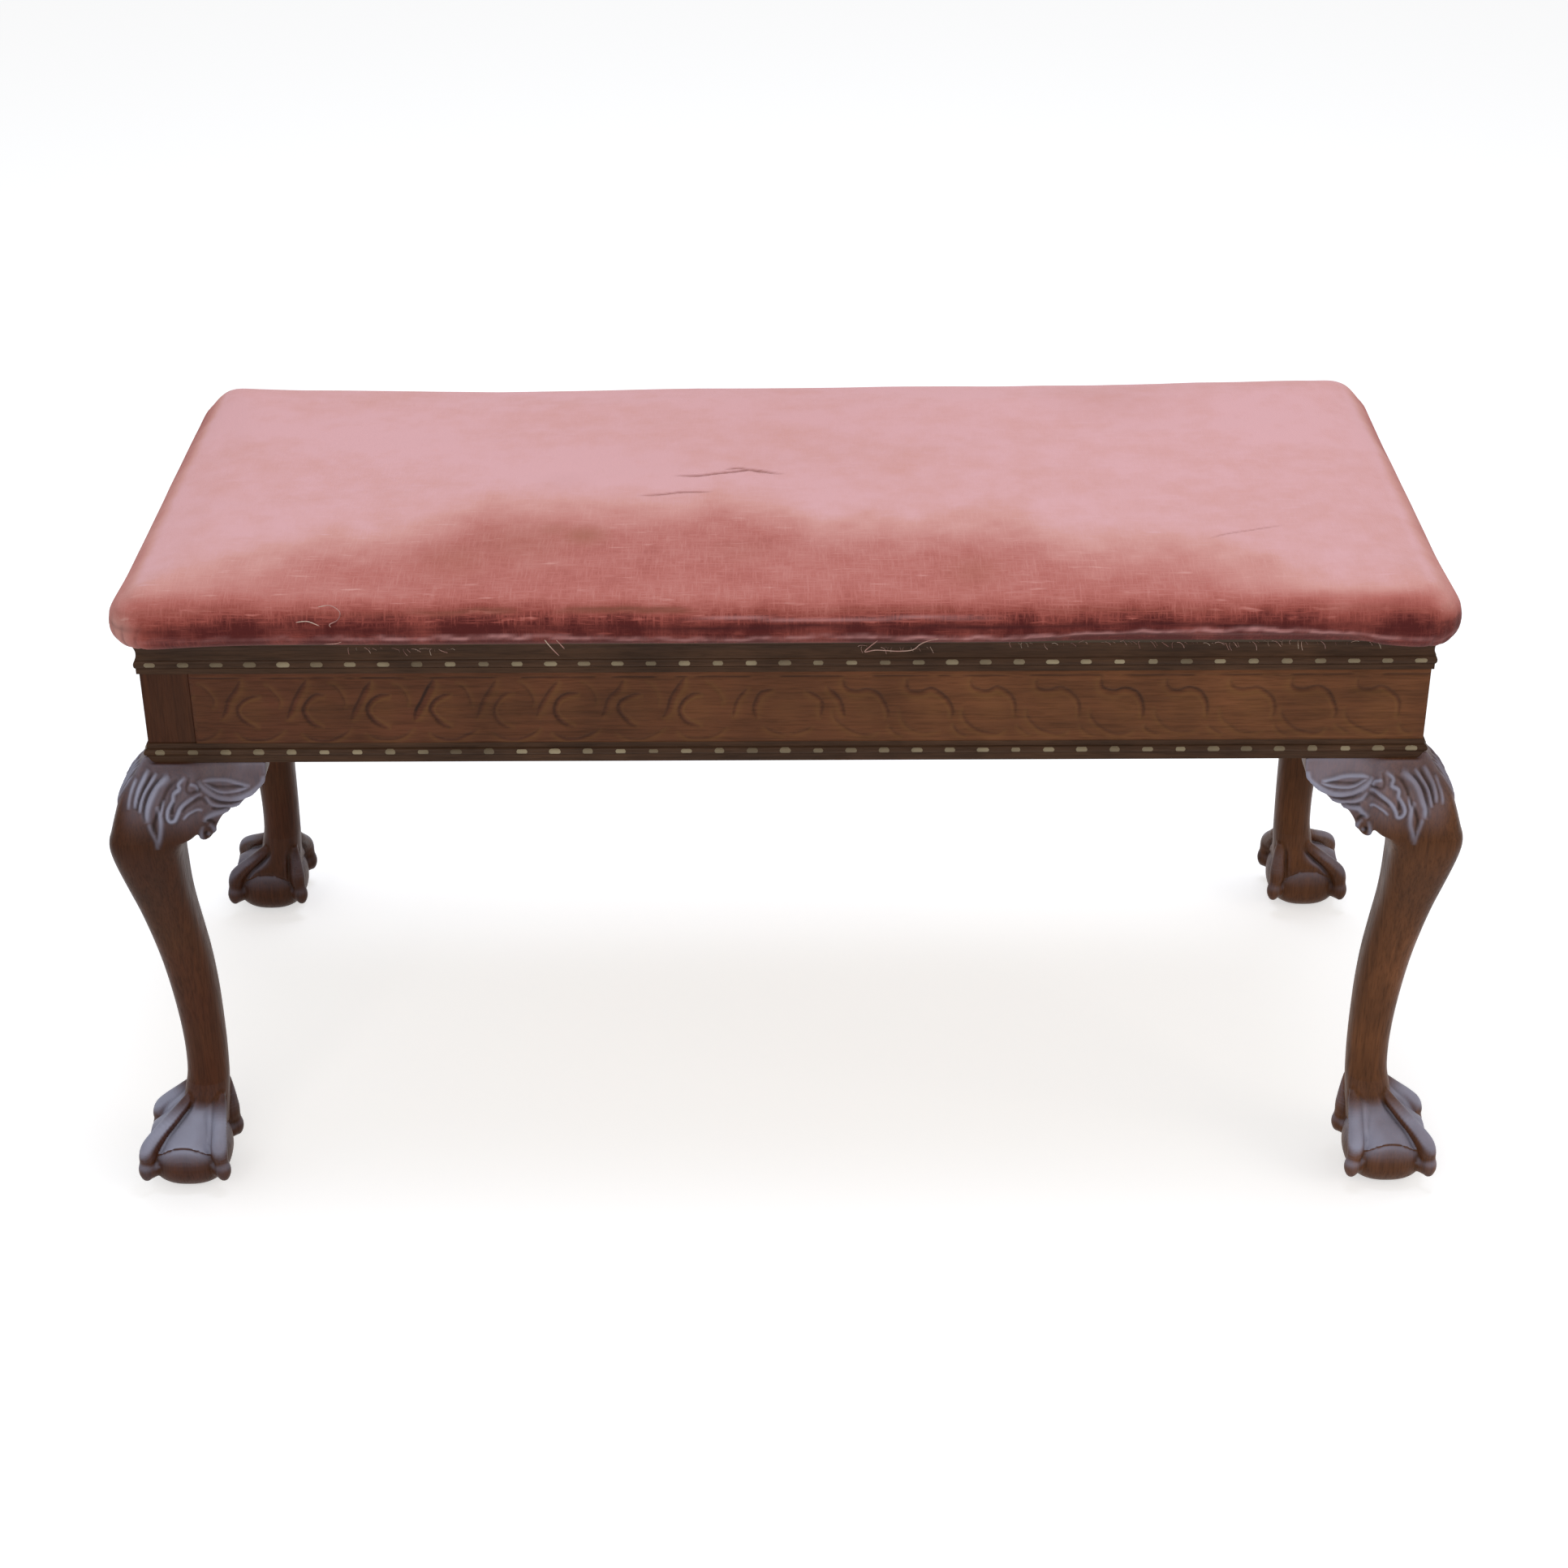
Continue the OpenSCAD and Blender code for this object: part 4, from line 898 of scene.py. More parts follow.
def leg_blank():
    """The uncarved leg with its ears, as one even skin: points, quads and edges."""
    set_to = sizes()
    foot_out, ball_r = set_to.foot_out / MM, set_to.ball_r / MM
    shapes = [leg_shell(LEG_TOP, set_to.knee_out / MM, set_to.foot_h / MM, foot_out + ball_r)]
    shapes += [talon_shell(sides, foot_out) for sides in TALON_SIDES]
    shapes += [ball_shell(foot_out, ball_r)]
    shapes += [ear_shell(LEG_TOP, swapped) for swapped in (False, True)]
    rough = object_of("leg_blank", mesh_of("leg_blank", *joined(shapes)))
    remesh = rough.modifiers.new("Even skin", "REMESH")
    remesh.mode = "VOXEL"
    remesh.voxel_size = set_to.carving_grain
    verts, quads, edges = arrays_of(evaluated_mesh(rough))
    way_in = -np.minimum(verts[:, 0], verts[:, 1])
    # The hollow between the knee and its ears is worked softer than the rest.
    junction = bell(way_in - 35, 7) * ease(verts[:, 2], 304, 312)
    for k in range(26):
        share = (0.5 if k < 3 else 0) + 0.6 * junction
        verts += np.clip(share, 0, 0.7)[:, None] * (neighbour_mean(verts, edges) - verts)
    verts[:, 2] = np.where(verts[:, 2] < 0.9, 0.0, verts[:, 2])
    return verts, quads, edges


def carved(verts, quads, edges, seed):
    """Carves the leg's points: leaves on the knees and creases beside the talons. Returns the points, how
    far each takes the pale colour of wear and of a painted sheen and highlight, and how far each is
    darkened by painted shade."""
    set_to = sizes()
    normals = point_normals(verts, quads)
    p, q, z = verts.T
    way_in = -np.minimum(p, q)
    outward = np.where(q >= p, normals[:, 1], normals[:, 0])
    facing = ease(outward, -0.05, 0.4)
    raised, cut = leaf_carving(way_in, z, seed)
    lift = set_to.knee_relief / MM * (0.85 * raised - 0.5 * cut) * facing
    foot = z < 80
    gap = np.full(len(z), 99.0)
    gap[foot] = beside_talons(verts[foot], set_to.foot_out / MM)
    on_web = ease(z, 22, 30) * ease(-z, -72, -56)
    lift -= 1.3 * bell(gap - 1.8, 1.4) * on_web
    verts = verts + lift[:, None] * normals
    # The web's edge is an arc between the talons, highest over the middle of the ball.
    hem = 0.61 * set_to.foot_h / MM
    across = np.where(np.abs(normals[:, 1]) > np.abs(normals[:, 0]), p, q) - set_to.foot_out / MM
    on_hem = bell(z - hem, 7) * ease(gap, -1, 3) * foot
    verts[:, 2] += on_hem * (2.5 - 6.5 * np.clip(across / 20, -1, 1) ** 2)
    worn, hollow = worn_and_hollow(verts, quads, edges)
    up = point_normals(verts, quads)[:, 2]
    # A pale blue-grey sheen is painted on the leaf of the knee and ears, brightest on its ridges, and on the
    # foot's upward faces, standing for the sky's reflection in the polish; rubbed edges add real wear.
    leaf = ease(z, 305, 335) * ease(way_in, -24, -8) * facing
    sheen_and_wear = (0.26 + 0.16 * ease(way_in, 20, 45)) * leaf * (1 - 0.2 * cut) + 0.8 * raised * facing
    sheen_and_wear += ease(up, -0.05, 0.45) * ease(-z, -69, -54) * (0.55 * ease(z, 12, 24) + 0.45 * ease(z, 33, 40))
    sheen_and_wear += 0.25 * worn * (leaf + foot)
    # Painted shade darkens the hollows and the leaf's cuts, and a band under the knee.
    painted_shade_under_knee = 0.32 * ease(z, 205, 270) * ease(-z, -330, -308)
    painted_shade = 0.5 * hollow * (1 - 0.7 * on_hem) + 0.2 * cut * facing + painted_shade_under_knee
    return verts, np.clip(sheen_and_wear, 0, 1), np.clip(painted_shade, 0, 1)


def post_block(low, high):
    """The square post at the leg's head, let into the box's corner, with its edges just eased."""
    eased = 0.5
    rings = []
    for z, inset in ((low, eased), (low + eased, 0), (high - eased, 0), (high, eased)):
        a, b = -POST_W + inset, -inset
        rings.append(np.array([
            (a, a + eased, z), (a + eased, a, z), (b - eased, a, z), (b, a + eased, z),
            (b, b - eased, z), (b - eased, b, z), (a + eased, b, z), (a, b - eased, z),
        ]))
    return skin_over(rings)


class STOOL_OT_carve_legs(Operator):
    """Carve the four cabriole legs with their knees, ears, and ball and claw feet"""

    bl_idname = "stool.carve_legs"
    bl_label = "Carve legs"

    def execute(self, context):
        blank, quads, edges = leg_blank()
        post_verts, post_faces = post_block(LEG_TOP - 1, POST_TOP)
        for k, (y_name, y_sign) in enumerate((("front", -1), ("back", 1))):
            for j, (x_name, x_sign) in enumerate((("left", -1), ("right", 1))):
                verts, worn, hollow = carved(blank, quads, edges, sizes().hand_seed + 2 * k + j)
                if y_sign > 0:  # painted darker and with less of the pale sheen, as the back legs stand in shade
                    worn, hollow = 0.45 * worn, np.clip(hollow + 0.2, 0, 1)
                all_verts = np.vstack([verts, post_verts])
                all_verts = all_verts * (x_sign, y_sign, 1) + (x_sign * BOX_X, y_sign * BOX_Y, 0)
                faces = [tuple(f) for f in quads]
                faces += [tuple(v + len(verts) for v in f) for f in post_faces]
                plain, handled = np.zeros(len(post_verts)), np.full(len(post_verts), 0.28)
                name = f"carved_leg_{y_name}_{x_name}"
                mesh = mesh_of(name, all_verts, faces, {
                    "worn": np.concatenate([worn, plain]), "hollow": np.concatenate([hollow, handled]),
                })
                mesh.polygons.foreach_set("use_smooth", np.arange(len(faces)) < len(quads))
                add_piece(name, mesh, "stool_box", "carved_mahogany", replaced=(
                    f"leg_{y_name}_{x_name}", f"ear_{y_name}_{x_name}", f"ear_{x_name}_{y_name}",
                ))
        return {"FINISHED"}


# Friezes. Strokes are (way along, height) from a scroll's middle, in millimetres, as cut right of centre.

SCROLL_CUTS = (  # depth as a share, width of the sharp side, width of the soft side, points
    (1.0, 0.8, 2.6, ((-18, 26), (-16, 16.5), (-8, 14.5), (0, 16.5), (7, 13), (12, 6), (14, -3),
                     (12.5, -10))),
    (0.6, 0.7, 2.2, ((-24, 2), (-22, -7), (-16, -14), (-8, -18.5), (2, -19.5), (9, -16))),
    (0.45, 0.7, 2.0, ((14, -12), (19, -18), (26, -21.5))),
)
LEFT_CUTS = (
    (1.0, 0.8, 2.8, ((-6, 13), (2, 12.5), (9, 7.5), (12, 0.5), (9.5, -7), (4, -12), (-4, -14))),
    (0.9, 0.8, 3.0, ((7, 26), (13, 17), (18, 9), (21.5, 1), (25, -8))),
    (0.6, 0.7, 2.0, ((-22, -13), (-14, -19), (-4, -22.5), (6, -22), (15, -17))),
    (0.4, 0.7, 2.0, ((-6, 23), (-13, 17), (-17, 9), (-17, 1))),
)
MEDALLION_CUTS = (
    (1.0, 0.8, 2.6, ((10, 16), (18, 13), (23, 7), (24.5, -1), (21, -9))),
    (0.8, 0.8, 2.4, ((26, 19), (36.5, 7), (39.5, -7))),
    (0.6, 0.7, 2.0, ((0, -20), (10, -17), (18, -13))),
)
SCROLLS_LEFT = (-418, -372, -326, -281, -237, -193, -150, -105, -62)
SCROLLS_RIGHT = (58, 103, 148, 193, 238, 283, 329, 372, 417)
DEEPEST_SCROLL = 238  # cut deepest half way along each half
SIDE_SCROLLS = (-137, -91, -45)


def frieze_height(x, z, centre, mirrored, seed):
    """Depth of one scroll's gouge cuts, and the painted shade along them, over points (x, z)."""
    rng = np.random.default_rng(seed)
    points = np.stack([(x - centre) * (-1 if mirrored else 1), z], 1)
    depth, painted_shade = np.zeros(len(x)), np.zeros(len(x))
    cuts = LEFT_CUTS if mirrored else SCROLL_CUTS
    if abs(centre) < 5:
        cuts = MEDALLION_CUTS
    deeper = 1.7 if abs(abs(centre) - DEEPEST_SCROLL) < 5 else 1.0
    for share, sharp, soft, stroke in cuts:
        share *= rng.uniform(0.35, 0.75) * deeper
        path = smooth_path(np.array(stroke) + rng.normal(0, 0.55, (len(stroke), 2)), 5)
        distance, side, run = near_stroke(points, path)
        taper = np.clip(np.minimum(run, 1 - run) * 4, 0, 1) ** 0.7
        across = np.where(side > 0, bell(distance, sharp), np.exp(-distance / soft))
        np.maximum(depth, share * taper * across, out=depth)
        # A line of painted shade runs along each cut.
        np.maximum(painted_shade, share * taper * bell(distance - 0.3, 0.9), out=painted_shade)
    depth -= 0.25 * bell(np.hypot(*(points - (3, 1)).T), 6)
    return depth, painted_shade


def relief_panel(low, high, scrolls, seed):
    """A carved frieze panel lying in (along, out, height): a closed slab with a carved face."""
    set_to = sizes()
    grain = set_to.frieze_grain / MM
    columns = int((high - low) / grain)
    rows = int((FRIEZE_HIGH - FRIEZE_LOW) / grain)
    along, level = np.meshgrid(
        np.linspace(low, high, columns + 1), np.linspace(FRIEZE_LOW, FRIEZE_HIGH, rows + 1), indexing="ij"
    )
    x, z = along.ravel(), level.ravel() - FRIEZE_MIDDLE
    depth, painted_shade = np.zeros(len(x)), np.zeros(len(x))
    for k, (centre, mirrored) in enumerate(scrolls):
        near = np.abs(x - centre) < 50
        cut, dark = frieze_height(x[near], z[near], centre, mirrored, seed + k)
        depth[near] = np.maximum(depth[near], cut)
        painted_shade[near] = np.maximum(painted_shade[near], dark)
    discs = np.max([bell(np.hypot(x - centre, z - 1), 12) for centre, _ in scrolls], axis=0)
    # A broken shallow cut runs near the upper edge, with painted shade in it.
    border = bell(z - 26.2 - 0.2 * wander(x, seed + 2, 90), 0.7)
    border = border * ease(wander(x, seed + 3, 60), -0.9, 0.2)
    depth, painted_shade = np.maximum(depth, 0.45 * border), np.maximum(painted_shade, 0.8 * border)
    swell = 0.12 * wander(x + 0.6 * z, seed, 31) + 0.08 * wander(z - 0.3 * x, seed + 1, 17)
    out = 1.5 + swell - set_to.frieze_relief / MM * depth
    edge = np.minimum.reduce([x - low, high - x, level.ravel() - FRIEZE_LOW, FRIEZE_HIGH - level.ravel()])
    out = np.where(edge < 1.2, np.minimum(out, 0.9), out)
    face = np.stack([x, out, level.ravel()], 1)
    grid = np.arange(len(x)).reshape(columns + 1, rows + 1)
    quads = np.stack([grid[:-1, :-1], grid[1:, :-1], grid[1:, 1:], grid[:-1, 1:]], -1).reshape(-1, 4)
    back_low = face[grid[:, 0]] * (1, 0, 1) + (0, -0.4, 0)
    back_high = face[grid[:, -1]] * (1, 0, 1) + (0, -0.4, 0)
    first_low, first_high = len(face), len(face) + columns + 1
    faces = [tuple(f) for f in quads]
    for c in range(columns):
        a, b = first_low + c, first_high + c
        faces.append((grid[c, 0], a, a + 1, grid[c + 1, 0]))
        faces.append((grid[c + 1, -1], b + 1, b, grid[c, -1]))
        faces.append((a, b, b + 1, a + 1))
    faces.append((*grid[0], first_high, first_low))
    faces.append((*grid[-1][::-1], first_low + columns, first_high + columns))
    pad = np.zeros(2 * (columns + 1))
    # The worn values are a painted highlight along the shallow edges of the cuts, and a paler patch over
    # each disc.
    worn = np.clip((bell(depth - 0.12, 0.1) * 0.4 + 0.16 * discs) * (1 - painted_shade), 0, 1)
    return np.vstack([face, back_low, back_high]), faces, {
        "worn": np.concatenate([worn, pad]), "hollow": np.concatenate([np.clip(painted_shade * 0.8, 0, 1), pad]),
    }


class STOOL_OT_carve_friezes(Operator):
    """Cut the running scrolls into the faces of the four rails"""

    bl_idname = "stool.carve_friezes"
    bl_label = "Carve friezes"

    def execute(self, context):
        seed = sizes().hand_seed
        long_run = [(x, True) for x in SCROLLS_LEFT] + [(x, False) for x in SCROLLS_RIGHT]
        long_run += [(2, False), (2, True)]
        short_run = [(x, True) for x in SIDE_SCROLLS] + [(-x, False) for x in SIDE_SCROLLS]
        short_run += [(0, False), (0, True)]
        at_post = POST_W + 0.6
        panels = (  # side, from, to, scrolls, way along, way out, distance out
            ("front", -BOX_X + at_post, BOX_X - 0.2, long_run, (1, 0, 0), (0, -1, 0), BOX_Y),
            ("back", -BOX_X + at_post, BOX_X - at_post, long_run, (-1, 0, 0), (0, 1, 0), BOX_Y),
            ("left", -BOX_Y + at_post, BOX_Y - at_post, short_run, (0, -1, 0), (-1, 0, 0), BOX_X),
            ("right", -BOX_Y + at_post, BOX_Y - at_post, short_run, (0, 1, 0), (1, 0, 0), BOX_X),
        )
        for k, (side, low, high, scrolls, way, outward, distance) in enumerate(panels):
            verts, faces, values = relief_panel(low, high, scrolls, seed + 100 * k)
            x, out, z = verts.T
            placed = x[:, None] * np.array(way) + (distance + out)[:, None] * np.array(outward)
            placed[:, 2] = z
            name = f"carved_frieze_{side}"
            add_piece(name, mesh_of(name, placed, faces, values), "stool_box", "frieze_mahogany")
        return {"FINISHED"}


# Beads

BEAD_GAP = 9.0  # from the box's corners to the ends of the rows
BEAD_ROWS = (  # name, middle's stand-out and height, bead's height and depth, wear between the beads
    ("bead_row_upper", 0.5, 434.8, 5.2, 6.2, 0.26),
    ("bead_row_lower", 0.7, 365.4, 4.9, 6.4, 0.04),
)


def bead_row_tree(name, finish):
    """Geometry Nodes: a worn bead with blunt ends, at every pitch along a path."""
    tree, given = geometry_tree(name, ("Pitch", "Length", "Height", "Depth", "Crest"))
    path = add_node(tree, "GeometryNodeMeshToCurve", {"Mesh": (given, "Geometry")})
    places = add_node(
        tree, "GeometryNodeResampleCurve", {"Curve": path, "Length": (given, "Pitch")}, mode="LENGTH"
    )
    tangent = add_node(tree, "GeometryNodeInputTangent")
    turn = add_node(
        tree, "FunctionNodeAlignRotationToVector", {"Vector": tangent}, axis="X", pivot_axis="Z"
    )
    ball = add_node(tree, "GeometryNodeMeshUVSphere", {"Segments": 10, "Rings": 7, "Radius": 0.5})
    # The ball is drawn out into a barrel with blunt ends: each point's way along is raised to a power.
    spot = add_node(tree, "GeometryNodeInputPosition")
    split = add_node(tree, "ShaderNodeSeparateXYZ", {"Vector": spot})
    twice = add_node(
        tree, "ShaderNodeMath", {"Value": (split, "X"), "Value_001": 2.0}, operation="MULTIPLY"
    )
    away = add_node(tree, "ShaderNodeMath", {"Value": twice}, operation="ABSOLUTE")
    blunt = add_node(tree, "ShaderNodeMath", {"Value": away, "Value_001": 0.45}, operation="POWER")
    sign = add_node(tree, "ShaderNodeMath", {"Value": twice}, operation="SIGN")
    along = add_node(tree, "ShaderNodeMath", {"Value": blunt, "Value_001": sign}, operation="MULTIPLY")
    half = add_node(tree, "ShaderNodeMath", {"Value": along, "Value_001": 0.5}, operation="MULTIPLY")
    place = add_node(tree, "ShaderNodeCombineXYZ", {"X": half, "Y": (split, "Y"), "Z": (split, "Z")})
    barrel = add_node(
        tree, "GeometryNodeSetPosition", {"Geometry": (ball, "Mesh"), "Position": place}
    )
    size = add_node(
        tree, "ShaderNodeCombineXYZ",
        {"X": (given, "Length"), "Y": (given, "Depth"), "Z": (given, "Height")},
    )
    unit = add_node(tree, "GeometryNodeTransform", {"Geometry": barrel, "Scale": size})
    vary = add_node(
        tree, "FunctionNodeRandomValue",
        {"Min": (0.82, 0.92, 0.9), "Max": (1.1, 1.08, 1.05), "Seed": (given, "Seed")},
        data_type="FLOAT_VECTOR",
    )
    row = add_node(
        tree, "GeometryNodeInstanceOnPoints",
        {"Points": places, "Instance": unit, "Rotation": turn, "Scale": (vary, "Value")},
    )
    rubbed = add_node(
        tree, "FunctionNodeRandomValue", {"Min_001": 0.5, "Max_001": 1.0, "Seed": (given, "Seed")},
        data_type="FLOAT",
    )
    marked = add_node(
        tree, "GeometryNodeStoreNamedAttribute",
        {"Geometry": row, "Name": "worn", "Value": (rubbed, "Value_001")},
        data_type="FLOAT", domain="INSTANCE",
    )
    # A thread of bare wood runs between the beads, where dusting has rubbed the round's crest.
    thin = add_node(
        tree, "ShaderNodeMath", {"Value": (given, "Depth"), "Value_001": 0.34}, operation="MULTIPLY"
    )
    section = add_node(tree, "GeometryNodeCurvePrimitiveCircle", {"Resolution": 12, "Radius": thin})
    crest = add_node(
        tree, "GeometryNodeCurveToMesh",
        {"Curve": path, "Profile Curve": (section, "Curve"), "Fill Caps": True},
    )
    crest_marked = add_node(
        tree, "GeometryNodeStoreNamedAttribute",
        {"Geometry": crest, "Name": "worn", "Value": (given, "Crest")},
        data_type="FLOAT", domain="POINT",
    )
    whole = add_node(tree, "GeometryNodeJoinGeometry", {"Geometry": [marked, crest_marked]})
    real = add_node(tree, "GeometryNodeRealizeInstances", {"Geometry": whole})
    soft = add_node(tree, "GeometryNodeSetShadeSmooth", {"Geometry": real})
    done = add_node(tree, "GeometryNodeSetMaterial", {"Geometry": soft, "Material": finish})
    add_node(tree, "NodeGroupOutput", {"Geometry": done})
    return tree


def paths_round_box(name, out, z):
    """Four straight paths round the box, each ending a little short of the corners."""
    x, y = BOX_X + out, BOX_Y + out
    near_x, near_y = x - BEAD_GAP, y - BEAD_GAP
    verts = [
        (-near_x, -y, z), (near_x, -y, z), (x, -near_y, z), (x, near_y, z),
        (near_x, y, z), (-near_x, y, z), (-x, near_y, z), (-x, -near_y, z),
    ]
    mesh = bpy.data.meshes.new(name)
    mesh.from_pydata([tuple(c * MM for c in v) for v in verts], [(0, 1), (2, 3), (4, 5), (6, 7)], [])
    return object_of(name, mesh)


class STOOL_OT_carve_beads(Operator):
    """Carve the rows of beads along the upper and the lower mouldings"""

    bl_idname = "stool.carve_beads"
    bl_label = "Carve beads"

    def execute(self, context):
        set_to = sizes()
        tree = bead_row_tree("Bead row", finish_of("moulding_mahogany"))
        for k, (name, out, z, height, depth, crest) in enumerate(BEAD_ROWS):
            values = {
                "Pitch": set_to.bead_pitch, "Length": set_to.bead_l, "Height": height * MM,
                "Depth": depth * MM, "Crest": crest, "Seed": set_to.hand_seed + k,
            }
            mesh = grown(paths_round_box(name, out, z), tree, values)
            add_piece(name, mesh, "stool_box", "moulding_mahogany")
        return {"FINISHED"}


# Seat. The velvet's outline is the CAD cover's, and its underside follows the lid board.

HEM_W = 16.0  # how far the hem is turned in under the lid
HEM_Z = SEAT_LOW[2]
BOARD_Z = node_box("lid_board")[0][2] + 0.1
SEAT_CORNER_R = 28.0
HINGE_X = 300.0  # the hinges' middles, half width and front edge, from the middle of the lid
HINGE_HALF = 31.5
HINGE_Y = 177.0
FADE_EDGE = (  # where the faded top gives way to the pile that kept its dye: (x, y)
    (-470, -185), (-422, -159), (-379, -146), (-315, -112), (-254, -84), (-214, -64), (-121, -56),
    (-51, -44), (19, -74), (107, -82), (193, -96), (277, -125), (356, -166), (435, -193), (470, -200),
)
TEARS = (  # width, depth, points (x, y)
    (1.4, 1.4, ((-84, -7), (-66, -9), (-52, -5), (-38, -1), (-24, 3), (-8, -3), (2, -4))),
    (1.2, 1.2, ((-45, 3), (-34, 6), (-22, 1), (-14, -4))),
    (1.1, 1.2, ((-108, -44), (-92, -43), (-78, -39), (-64, -38), (-52, -38))),
    (0.9, 0.5, ((298, -124), (312, -116), (326, -111), (340, -106), (356, -101))),
)
BLOTS = (  # x, y, radius, strength
    (-142, -114, 16, 0.75), (-165, -104, 14, 0.45), (-185, -122, 38, 0.3), (-160, -18, 26, 0.12),
    (131, -170, 20, 0.3), (-228, -150, 26, 0.3), (-30, -140, 22, 0.15), (250, 150, 60, 0.14),
    (60, 20, 70, 0.07), (-20, 90, 200, 0.11),
)
SEAT_ROLL = 24.0  # the roll along the front's upper edge; the back's is worn rounder
BACK_ROLL = 31.0
HEM_ROLL = 11.0
HEM_CREASE = 480.0  # height of the rucked fold under the roll
HEM_SLIT = 470.0  # height of the dark gap over the turned-up hem
CLOTH = {  # the velvet over its stuffing, in the cloth simulation's settings
    "quality": 6, "mass": 0.3, "tension_stiffness": 12, "compression_stiffness": 12, "shear_stiffness": 5,
    "bending_stiffness": 0.6, "air_damping": 4, "use_pressure": True, "uniform_pressure_force": 0.6,
    "vertex_group_mass": "gripped",
}
CLOTH_FRAMES = 20
HEM_LIP = (  # the frayed lip of the turned-up hem along the front: (x, height, strength)
    (-460, 462, 0.15), (-320, 463, 0.3), (-270, 462.5, 0.8), (-170, 464, 0.9), (-114, 461.5, 0.6),
    (-37, 460.5, 0.6), (35, 463.5, 0.6), (101, 461, 1), (157, 461, 0.8), (235, 465, 0.8),
    (324, 467.5, 0.9), (380, 464.5, 0.8), (430, 460, 0.5), (460, 458, 0.2),
)
SAT_DOWN = (  # how far the back edge is sat down along the seat: (x, depth)
    (-440, 1.5), (-390, 2.8), (-310, 4.1), (-230, 5.4), (-150, 4.2), (-70, 2), (10, 2.5), (90, 2.1),
    (250, 1), (330, -0.85), (410, -1.25),
)


def block_skin(counts):
    """Points and quads of a unit block's surface, split into that many cells along each axis."""
    index, points, quads = {}, [], []

    def point(key):
        if key not in index:
            index[key] = len(points)
            points.append([2 * k / n - 1 for k, n in zip(key, counts)])
        return index[key]

    for axis in range(3):
        u, v = [a for a in range(3) if a != axis]
        for end in (0, counts[axis]):
            for i in range(counts[u]):
                for j in range(counts[v]):
                    corners = []
                    for di, dj in ((0, 0), (1, 0), (1, 1), (0, 1)):
                        key = [0, 0, 0]
                        key[axis], key[u], key[v] = end, i + di, j + dj
                        corners.append(point(tuple(key)))
                    quads.append(corners if (end > 0) == (axis != 1) else corners[::-1])
    return np.array(points), np.array(quads)


def rounded_corner(a, b, radius):
    """Two sides of a square corner, bent onto the quarter circle that fits in it."""
    a, b = np.clip(a, 0, radius), np.clip(b, 0, radius)
    return a * np.sqrt(1 - b**2 / (2 * radius**2)), b * np.sqrt(1 - a**2 / (2 * radius**2))


def seat_form(unit, half_x, half_y, low, high, roll, under):
    """A unit block bent to the seat's form: rounded corners in plan, and a rolled upper and lower edge."""
    x, y = unit[:, 0] * half_x, unit[:, 1] * half_y
    z = low + (unit[:, 2] + 1) / 2 * (high - low)
    edge = np.minimum(half_x - np.abs(x), half_y - np.abs(y))
    for side, radius, start in ((1, roll, high), (-1, under, low)):
        past = side * (z - start) + radius
        a, b = rounded_corner(radius - edge, past, radius)
        rolled = (unit[:, 2] * side > 0) & (edge < radius) & (past > 0)
        inset = np.where(rolled, radius - a, edge)
        z = np.where(rolled, start + side * (b - radius), z)
        x = x * np.where(rolled, (half_x - inset) / (half_x - np.where(rolled, edge, 0)), 1)
        y = y * np.where(rolled, (half_y - inset) / (half_y - np.where(rolled, edge, 0)), 1)
    over_x, over_y = np.abs(x) - (half_x - SEAT_CORNER_R), np.abs(y) - (half_y - SEAT_CORNER_R)
    corner = (over_x > 0) & (over_y > 0)
    a, b = rounded_corner(over_x, over_y, SEAT_CORNER_R)
    x = np.where(corner, np.sign(x) * (half_x - SEAT_CORNER_R + a), x)
    y = np.where(corner, np.sign(y) * (half_y - SEAT_CORNER_R + b), y)
    return np.stack([x, y, z], 1)


def outline_inset(x, y, half_x, half_y, radius):
    """How far a point lies inside a rectangle with rounded corners."""
    over_x, over_y = np.abs(x) - (half_x - radius), np.abs(y) - (half_y - radius)
    outside = np.hypot(np.maximum(over_x, 0), np.maximum(over_y, 0))
    return radius - outside - np.minimum(np.maximum(over_x, over_y), 0)


def stuffed(piece, held, gripped, swell):
    """Stuffs a mesh: draws its skin out along its normals, then lets the cloth of its top swell in a
    simulation, where gripped points keep their place and no other moves more than the swell."""
    scene = bpy.context.scene
    mesh = piece.data
    start = np.empty(len(mesh.vertices) * 3)
    mesh.vertices.foreach_get("co", start)
    start = start.reshape(-1, 3)
    out = np.array([v.normal for v in mesh.vertices])
    start += out * swell * (1 - held)[:, None]
    mesh.vertices.foreach_set("co", start.ravel())
    mesh.update()
    group = piece.vertex_groups.new(name="gripped")
    for k, weight in enumerate(gripped):
        if weight > 0:
            group.add([k], float(weight), "REPLACE")
    cloth = piece.modifiers.new("Cloth", "CLOTH")
    for key, value in CLOTH.items():
        setattr(cloth.settings, key, value)
    cloth.settings.effector_weights.gravity = 0
    cloth.point_cache.frame_start = 1
    cloth.point_cache.frame_end = CLOTH_FRAMES
    for number in range(1, CLOTH_FRAMES + 1):
        scene.frame_set(number)
    swollen = piece.evaluated_get(bpy.context.evaluated_depsgraph_get()).to_mesh()
    moved = np.empty(len(swollen.vertices) * 3)
    swollen.vertices.foreach_get("co", moved)
    piece.modifiers.clear()
    scene.frame_set(1)
    shift = moved.reshape(-1, 3) - start
    far = np.linalg.norm(shift, axis=1, keepdims=True)
    limit = 0.5 * swell
    capped = shift * limit * np.tanh(far / limit) / np.maximum(far, 1e-9)
    mesh.vertices.foreach_set("co", (start + capped).ravel())
    mesh.update()


